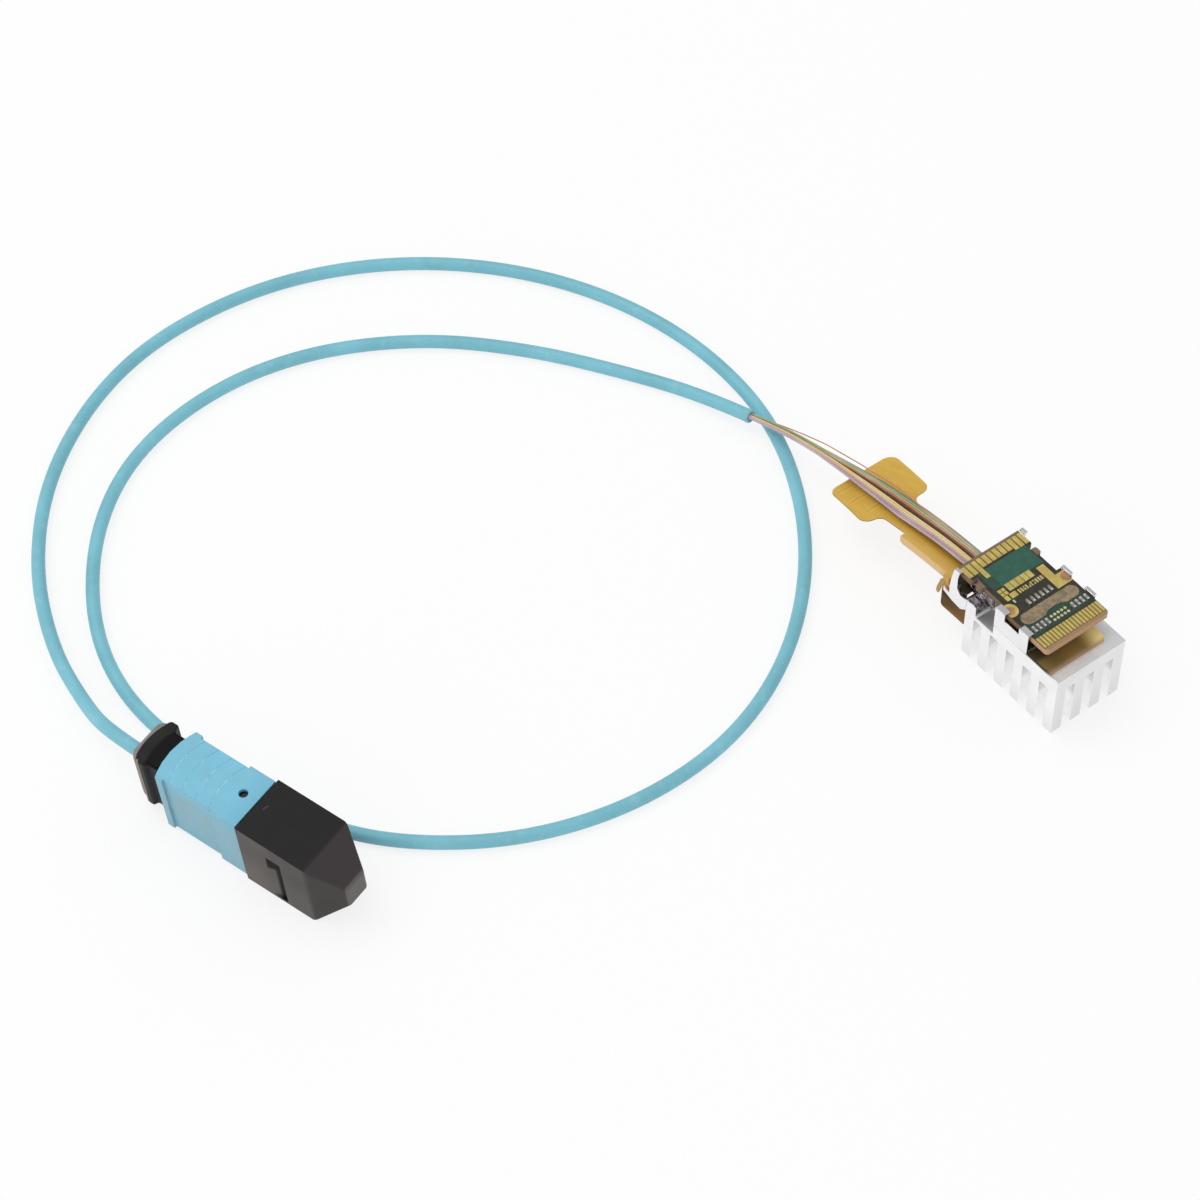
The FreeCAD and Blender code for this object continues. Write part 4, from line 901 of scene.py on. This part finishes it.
class CABLE_OT_film(Operator):
    """Amber film pull tab"""
    bl_idname = "optical_cable.film"
    bl_label = "Film Pull Tab"

    # Rounding of the film's edges and of its lug's, in millimetres
    ROUND = 0.06
    LUG_ROUND = 0.04
    # The curled lug: its two sides across the module, and its outline as places along it and up
    LUG_SIDES = (-5.24, -5.1)
    LUG_OUTLINE = [(-12.85, 9.1), (-13.3, 9.05), (-13.62, 8.7), (-13.85, 7.8), (-14.12, 6.9), (-14.22, 6.3),
                   (-14.12, 5.85), (-13.86, 5.76), (-13.66, 6.1), (-13.46, 6.75), (-13.32, 7.4),
                   (-12.85, 8.2)]

    def execute(self, context):
        looks = context.scene.module_looks
        dressed("pull_tab", "film_tab", film_finish(looks), (self.ROUND * MM, 2), slot="film")
        self.lug()
        return {"FINISHED"}

    def lug(self):
        """Small curled lug at the rear end of the hanging flap."""
        form = bmesh.new()
        capped_rings(form, [[form.verts.new(Vector((along, across, up)) * MM)
                             for along, up in self.LUG_OUTLINE] for across in self.LUG_SIDES])
        bmesh.ops.recalc_face_normals(form, faces=form.faces)
        rounded_edges(form, self.LUG_ROUND * MM, 2)
        curled = moulded("curled_film", tone(168, 128, 62), rough=0.35)
        smooth(new_piece("film_ear", form, curled))


class CABLE_OT_board(Operator):
    """Printed board with its contacts, chips and resin strip"""
    bl_idname = "optical_cable.board"
    bl_label = "Printed Board"

    # Rounding of the edges of the board and of the resin strip, in millimetres
    ROUND = 0.05
    STRIP_ROUND = 0.035
    # Middle and radius of the bare spot in each of two pads
    SPOTS = {"corner_pad": ((-2.02, 4.8), 0.8), "round_pad": ((-2.03, -4.45), 0.7)}
    # Bite in the front of the resin strip: its depth, and the middle and half of its length
    BITE_DEPTH = 0.52
    BITE_MIDDLE = 0.3
    BITE_HALF = 1.6
    # Steps round each end of the strip, and degrees of one step round the bite
    END_STEPS = 12
    BITE_STEP = 12

    def execute(self, context):
        looks = context.scene.module_looks
        dressed("circuit_board", "printed_board", board_finish(looks), (self.ROUND * MM, 2), slot="board")
        painted(gold_finish("gold_plate", looks.gold), "front_contacts", "rear_contacts", "bond_pads")
        painted(gold_finish("pale_gold_plate", tone(252, 244, 190)), "test_points")
        for node, (middle, radius) in self.SPOTS.items():
            painted(ringed_gold_finish(looks, middle, radius), node)
        painted(chip_finish(), "chip_capacitors")
        self.strip(looks)
        return {"FINISHED"}

    def strip(self, looks):
        """Resin strip with a bite where the test points are."""
        low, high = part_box("sealing_strip")
        ends = (high.x - low.x) / 2
        outline = []
        for across, start in ((high.y - ends, 0), (low.y + ends, 180)):
            for step in range(self.END_STEPS + 1):
                turn = math.radians(start + 180 * step / self.END_STEPS)
                outline.append((low.x + ends * (1 + math.cos(turn)), across + ends * math.sin(turn)))
        for angle in range(-90, 91, self.BITE_STEP):
            turn = math.radians(angle)
            outline.append((high.x - self.BITE_DEPTH * MM * math.cos(turn),
                            (self.BITE_MIDDLE + self.BITE_HALF * math.sin(turn)) * MM))
        form = bmesh.new()
        foot = form.faces.new([form.verts.new((*place, low.z)) for place in outline])
        raised = bmesh.ops.extrude_face_region(form, geom=[foot])["geom"]
        bmesh.ops.translate(form, vec=(0, 0, high.z - low.z),
                            verts=[item for item in raised if isinstance(item, bmesh.types.BMVert)])
        bmesh.ops.recalc_face_normals(form, faces=form.faces)
        rounded_edges(form, self.STRIP_ROUND * MM, 2,
                      lambda edge: min(vert.co.z for vert in edge.verts) > low.z + WELD)
        piece = new_piece("resin_strip", form, resin_finish(looks))
        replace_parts(smooth(piece), "sealing_strip")


class CABLE_OT_engine(Operator):
    """Optics, chips and pads under the board"""
    bl_idname = "optical_cable.engine"
    bl_label = "Optics under the Board"

    # Rounding of the edges of the lens block and of the fibre holder, in millimetres
    LENS_ROUND = 0.15
    HOLDER_ROUND = 0.08
    # White bead in each of the heat sink's recesses, a painted highlight on its inner corner: place along it
    # and up, radius, and both ends from the sink's side
    BEAD_ALONG = -6.6
    BEAD_UP = 8.1
    BEAD_RADIUS = 0.2
    BEAD_ENDS = (0.1, 2.5)
    BEAD_STEPS = 6

    def execute(self, context):
        plate = dark_plate()
        dressed("lens_block", "optic_block", plate, (self.LENS_ROUND * MM, 2), slot="optic")
        dressed("fibre_clamp", "fibre_holder", plate, (self.HOLDER_ROUND * MM, 2), slot="optic")
        self.highlight_beads()
        silicon = moulded("die_silicon", tone(58, 58, 66), rough=0.15, grain=0.3, relief=0.002)
        painted(silicon, "driver_chip", "laser_array", "detector_array")
        painted(moulded("gap_pad", tone(150, 152, 158), rough=0.8, grain=0.2, relief=0.03), "thermal_pad")
        return {"FINISHED"}

    def highlight_beads(self):
        """White bead in the rear corner of each recess of the heat sink: a painted highlight on the inner
        corner.
        """
        aside = reach("heat_sink")[1].y
        section = [(self.BEAD_ALONG, self.BEAD_UP)]
        for step in range(self.BEAD_STEPS + 1):
            turn = math.pi / 2 * step / self.BEAD_STEPS
            section.append((self.BEAD_ALONG + self.BEAD_RADIUS * math.cos(turn),
                            self.BEAD_UP + self.BEAD_RADIUS * math.sin(turn)))
        form = bmesh.new()
        for side in (-1, 1):
            capped_rings(form, [[form.verts.new(Vector((along, side * (aside - inset), up)) * MM)
                                 for along, up in section] for inset in self.BEAD_ENDS])
        bmesh.ops.recalc_face_normals(form, faces=form.faces)
        # Painted highlight: the bead's plain white stands for the highlight on the recess's inner corner.
        bright = moulded("highlight_bead", tone(254, 254, 255), rough=0.3)
        smooth(new_piece("recess_beads", form, bright))


class CABLE_OT_fibres(Operator):
    """Twelve coloured fibres that run from a flat ribbon into the round jacket"""
    bl_idname = "optical_cable.fibres"
    bl_label = "Bare Fibres"

    # Colours of the strands, from the far side of the ribbon to its near side; the two dark brown ones are
    # painted shade, coloured as the film in shade between strands
    SHADES = [(112, 122, 100), (150, 162, 118), (176, 172, 128), (192, 118, 84), (112, 60, 28), (60, 36, 16),
              (224, 202, 120), (226, 212, 156), (206, 160, 158), (184, 146, 152), (178, 164, 178)]
    STRAY = (206, 136, 88)

    # Along the ribbon, in millimetres: place in x, sideways shift of its middle, half of its width
    RIBBON = [(-53.5, 0.0, 0.42), (-48.0, 0.0, 0.5), (-41.3, -0.1, 0.68), (-36.5, -0.23, 1.0),
              (-31.0, -0.3, 1.4), (-24.3, -0.45, 1.72), (-20.0, -0.4, 1.62), (-10.8, -0.15, 1.5)]
    # The loose strand: place in x, sideways shift
    LOOSE = [(-53.5, 0.25), (-51.0, 0.45), (-46.0, 0.95), (-41.8, 1.37), (-38.3, 1.38), (-34.4, 1.44),
             (-31.4, 1.54), (-28.0, 1.62), (-26.0, 1.4), (-24.7, 1.18), (-22.0, 0.95), (-10.8, 0.95)]
    # Layer of each strand where the ribbon is gathered, and the height of one layer
    LAYERS = [0, 1, 0, -1, -1, -1, 1, 0, 1, 0, 1]
    LAYER_HEIGHT = 0.3
    # Least share of that height, which the strands keep where the ribbon is flat
    FLAT_SHARE = 0.12
    # Height of the loose strand over the ribbon's middle
    LOOSE_HEIGHT = 0.1
    # Cut end of the jacket: place along its line and radius
    COLLAR = [(-0.1, 0.66), (-0.1, 0.82), (-0.02, 0.9), (0.3, 0.93), (0.7, 0.92), (1.0, 0.88), (1.0, 0.66)]
    # Sides of the round sections
    STRAND_SIDES = 8
    COLLAR_SIDES = 24

    def execute(self, context):
        looks = context.scene.cable_looks
        line = route_line(FIBRE_ROUTE)
        form = bmesh.new()
        layer = form.verts.layers.float_color.new("strand")
        for rank, shade in enumerate(self.SHADES):
            self.strand(form, layer, line, shade, looks.strand_width, self.laid(rank))
        self.strand(form, layer, line, self.STRAY, looks.stray_width, self.loose)
        piece = new_piece("fibre_ribbon", form, fibre_finish())
        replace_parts(smooth(piece, angle=60), "fibre_bundle")
        self.collar()
        return {"FINISHED"}

    def between(self, stations, place):
        """Values at a place, from the stations on both sides of it."""
        for (before, *first), (after, *second) in zip(stations, stations[1:]):
            if place <= after:
                share = max(0.0, (place - before) / (after - before))
                return [low + (high - low) * share for low, high in zip(first, second)]
        return stations[-1][1:]

    def laid(self, rank):
        """Sideways and upright offset of a strand at a place: side by side, or gathered in layers."""
        share = 1 - 2 * (rank + 0.5) / len(self.SHADES)

        def offset(place):
            shift, half = self.between(self.RIBBON, place)
            gathered = 1 - half / self.RIBBON[-1][2]
            rise = self.LAYER_HEIGHT * self.LAYERS[rank] * max(self.FLAT_SHARE, gathered)
            return Vector((shift + half * share, rise)) * MM

        return offset

    def loose(self, place):
        """Offset of the one strand that stands off the ribbon on its far side."""
        shift, = self.between(self.LOOSE, place)
        return Vector((shift, self.LOOSE_HEIGHT)) * MM

    def strand(self, form, layer, line, shade, width, offset):
        """One round strand along the line, at an offset that changes along it."""
        rings = []
        for step, point in enumerate(line):
            ahead = line[min(step + 1, len(line) - 1)] - line[max(step - 1, 0)]
            across = ahead.cross(Vector((0, 0, 1))).normalized()
            over = across.cross(ahead).normalized()
            shift = offset(point.x / MM)
            middle = point + across * shift.x + over * shift.y
            ring = []
            for side in range(self.STRAND_SIDES):
                turn = 2 * math.pi * side / self.STRAND_SIDES
                vert = form.verts.new(middle + (across * math.cos(turn) + over * math.sin(turn)) * width / 2)
                vert[layer] = (*tone(*shade), 1.0)
                ring.append(vert)
            rings.append(ring)
        capped_rings(form, rings)

    def collar(self):
        """Slightly flared cut end of the jacket, round the fibres."""
        start = Vector(JACKET_ROUTE[0]) * MM
        axis = (Vector(JACKET_ROUTE[1]) * MM - start).normalized()
        stand = Matrix.Translation(start) @ axis.to_track_quat("X", "Z").to_matrix().to_4x4()
        turns = [2 * math.pi * side / self.COLLAR_SIDES for side in range(self.COLLAR_SIDES)]
        form = bmesh.new()
        rings = [[form.verts.new(Vector((along, radius * math.cos(turn), radius * math.sin(turn))) * MM)
                  for turn in turns] for along, radius in self.COLLAR]
        join_rings(form, rings, closed=True)
        bmesh.ops.recalc_face_normals(form, faces=form.faces)
        cut = moulded("jacket_cut", tone(132, 190, 204), rough=0.5)
        return smooth(new_piece("jacket_rim", form, cut, stand=stand))


class CABLE_OT_jacket(Operator):
    """Aqua jacket laid in one and a half turns"""
    bl_idname = "optical_cable.jacket"
    bl_label = "Jacket"

    def execute(self, context):
        looks = context.scene.cable_looks
        piece = route_curve("aqua_jacket", JACKET_ROUTE, looks.jacket_width)
        piece.data.materials.append(jacket_finish(looks))
        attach(piece, "cable")
        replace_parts(piece, "cable_jacket")
        return {"FINISHED"}


class CABLE_OT_plug(Operator):
    """Plug with its sleeve, boot and dust cap"""
    bl_idname = "optical_cable.plug"
    bl_label = "Plug"

    # Where the cap's nose starts and where its finger pockets lie along the plug, in millimetres
    NOSE_START = 10.4
    POCKET = (4.2, 6.5)
    # Rounding of the sleeve's edges
    SLEEVE_ROUND = 0.06
    # Solid, piece and joint of each spring
    SPRINGS = (("ferrule_spring", "ferrule_coil", "ferrule_slide"),
               ("upper_sleeve_spring", "upper_sleeve_coil", "sleeve_slide"),
               ("lower_sleeve_spring", "lower_sleeve_coil", "sleeve_slide"))
    # How far the boot's neck and its flange sit to the far side of the cable, and where the flange starts
    NECK_OFFSET = 0.1
    FLANGE_OFFSET = 0.3
    FLANGE_START = -15.3
    # Sections of the boot: place along the plug, width, height, corner radius, bow of the rear
    BOOT = [(-13.1, 5.4, 9.3, 0.5, 0.0), (-14.95, 5.4, 9.3, 0.5, 0.0), (-15.12, 5.6, 9.32, 0.5, 0.1),
            (-15.24, 6.0, 9.36, 0.5, 0.16), (-15.36, 6.6, 9.4, 0.4, 0.22), (-15.44, 6.75, 9.4, 0.3, 0.26),
            (-15.52, 6.8, 9.4, 0.3, 0.32), (-16.25, 6.8, 9.4, 0.3, 0.75), (-16.4, 6.72, 9.34, 0.35, 0.8),
            (-16.48, 6.5, 9.15, 0.5, 0.8), (-16.6, 6.3, 9.0, 0.6, 0.8), (-17.1, 6.1, 8.8, 0.7, 0.8),
            (-17.4, 5.8, 8.55, 0.7, 0.8), (-17.5, 5.2, 8.2, 0.7, 0.8)]
    # Steps of the hole through the boot: place along the plug, radius
    BORE = [(-18.1, 1.0), (-16.3, 1.0), (-16.3, 2.08), (-13.1, 2.08)]

    def execute(self, context):
        looks = context.scene.plug_looks
        stand = plug_frame()
        dressed("dust_cap", "cap_cover", cap_finish(looks), (looks.nose_round, 4, self.on_nose),
                (looks.edge_round, 3, self.on_body), stand=stand, slot="black")
        dressed("coupling_sleeve", "sleeve_cover", sleeve_finish(looks), (self.SLEEVE_ROUND * MM, 2),
                stand=stand, slot="sleeve")
        self.boot(looks, stand)
        inner = moulded("inner_plastic", tone(24, 23, 24), rough=0.4, grain=0.2, relief=0.01)
        painted(inner, "inner_housing", "spring_push", "ferrule", "ferrule_keeper")
        wire = satin_metal("spring_wire", tone(214, 214, 216), rough=0.22, grain=0.1)
        for node, name, joint in self.SPRINGS:
            self.coil(node, name, wire, joint, stand)
        painted(satin_metal("crimp_brass", tone(206, 176, 112), rough=0.3, grain=0.1), "crimp_ring")
        return {"FINISHED"}

    def coil(self, node, name, material, joint, stand):
        """Spring as a piece with a mesh of its own."""
        piece = dressed(node, name, material, stand=stand, slot="spring_steel")
        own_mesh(piece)

    def on_nose(self, edge):
        """Edges of the cap's tapered nose."""
        return min(vert.co.x for vert in edge.verts) > self.NOSE_START * MM

    def on_body(self, edge):
        """Edges of the cap behind its nose, without those of its pockets."""
        low, high = self.POCKET
        places = [vert.co.x / MM for vert in edge.verts]
        return min(places) < self.NOSE_START and not all(low < place < high for place in places)

    def boot(self, looks, stand):
        """Boot with a waisted neck and a flange whose rear is bowed, open for the cable and the barrel."""
        form = bmesh.new()
        rings = []
        for along, width, height, corner, bow in self.BOOT:
            offset = self.NECK_OFFSET if along > self.FLANGE_START else self.FLANGE_OFFSET
            rings.append([form.verts.new(Vector((along - bow * (1 - (2 * across / width) ** 2),
                                                 across + offset, up)) * MM)
                          for across, up in rounded_outline(width, height, corner)])
        for along, radius in self.BORE:
            rings.append([form.verts.new(Vector((along, across, up)) * MM)
                          for across, up in rounded_outline(2 * radius, 2 * radius, radius)])
        join_rings(form, rings, closed=True)
        bmesh.ops.recalc_face_normals(form, faces=form.faces)
        piece = new_piece("boot_cover", form, boot_finish(looks), stand=stand)
        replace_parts(smooth(piece, angle=50), "boot")


class CABLE_OT_stage(Operator):
    """Pale floor, soft light and the camera"""
    bl_idname = "optical_cable.stage"
    bl_label = "Stage"

    # Half of the floor's width in metres, and the gap under the object in millimetres
    FLOOR_HALF = 3.0
    FLOOR_GAP = 0.02
    # Where each lamp stands from the middle of the object, and how wide it is, in metres
    KEY_PLACE = (-0.35, -0.25, 0.9)
    KEY_WIDTH = 0.7
    FILL_PLACE = (0.35, -0.75, 0.35)
    FILL_WIDTH = 0.6
    # Width of the camera's sensor in millimetres, and the nearest that it sees in metres
    SENSOR = 36.0
    NEAREST = 0.01

    def execute(self, context):
        scene = context.scene
        looks = scene.stage_looks
        form = bmesh.new()
        bmesh.ops.create_grid(form, x_segments=2, y_segments=2, size=self.FLOOR_HALF)
        data = bpy.data.meshes.new("floor")
        form.to_mesh(data)
        form.free()
        data.materials.append(floor_finish(looks))
        floor = bpy.data.objects.new("floor", data)
        floor.location.z = min(0.0, CAD_BOX[0][2]) - self.FLOOR_GAP * MM
        scene.collection.objects.link(floor)
        self.sky(scene, looks)
        middle = Vector(looks.aim)
        self.lamp("key", middle, Vector(self.KEY_PLACE), looks.key, self.KEY_WIDTH)
        self.lamp("fill", middle, Vector(self.FILL_PLACE), looks.fill, self.FILL_WIDTH)
        self.camera(scene, looks)
        scene.view_settings.view_transform = "Standard"
        return {"FINISHED"}

    def sky(self, scene, looks):
        """Even light from all round, white to the camera and grey in reflections."""
        world = bpy.data.worlds.new("studio")
        world.use_nodes = True
        nodes = Nodes(world.node_tree)
        path = nodes.light_path()
        level = (looks.sky + path["Is Camera Ray"] * (1 - looks.sky)
                 + path["Is Glossy Ray"] * (looks.mirror - looks.sky))
        back = nodes.tree.nodes["Background"].inputs
        nodes.feed(back["Color"], (1, 1, 1))
        nodes.feed(back["Strength"], level)
        scene.world = world

    def lamp(self, name, middle, offset, power, size):
        """Large soft lamp that faces the object."""
        data = bpy.data.lights.new(name, "AREA")
        data.energy = power
        data.size = size
        lamp = bpy.data.objects.new(name, data)
        lamp.location = middle + offset
        lamp.rotation_euler = (-offset).to_track_quat("-Z", "Y").to_euler()
        bpy.context.scene.collection.objects.link(lamp)

    def camera(self, scene, looks):
        """Camera at the photograph's place, with its upright sides upright."""
        data = bpy.data.cameras.new("camera")
        data.lens = looks.lens
        data.sensor_width = self.SENSOR
        data.clip_start = self.NEAREST
        camera = bpy.data.objects.new("camera", data)
        eye = Vector(looks.eye)
        camera.location = eye
        camera.rotation_euler = (Vector(looks.aim) - eye).to_track_quat("-Z", "Y").to_euler()
        scene.collection.objects.link(camera)
        scene.camera = camera


OPERATORS = (CABLE_OT_heat_sink, CABLE_OT_clip, CABLE_OT_film, CABLE_OT_board, CABLE_OT_engine, CABLE_OT_plug,
             CABLE_OT_fibres, CABLE_OT_jacket, CABLE_OT_stage)
LOOKS = {"module_looks": ModuleLooks, "cable_looks": CableLooks, "plug_looks": PlugLooks,
         "stage_looks": StageLooks}


class CABLE_PT_looks(Panel):
    """Looks of the optical cable"""
    bl_idname = "CABLE_PT_looks"
    bl_label = "Optical Cable"
    bl_space_type = "VIEW_3D"
    bl_region_type = "UI"
    bl_category = "Optical Cable"

    def draw(self, context):
        for name, group in LOOKS.items():
            box = self.layout.box()
            for field in group.__annotations__:
                box.prop(getattr(context.scene, name), field)
        for operator in OPERATORS:
            self.layout.operator(operator.bl_idname)


def register():
    for kind in (*LOOKS.values(), *OPERATORS, CABLE_PT_looks):
        bpy.utils.register_class(kind)
    for name, group in LOOKS.items():
        setattr(bpy.types.Scene, name, PointerProperty(type=group))


def unregister():
    for name in LOOKS:
        delattr(bpy.types.Scene, name)
    for kind in (CABLE_PT_looks, *reversed(OPERATORS), *reversed(LOOKS.values())):
        bpy.utils.unregister_class(kind)


def main():
    register()
    for operator in OPERATORS:
        group, name = operator.bl_idname.split(".")
        getattr(getattr(bpy.ops, group), name)()


if __name__ == "__main__":
    main()
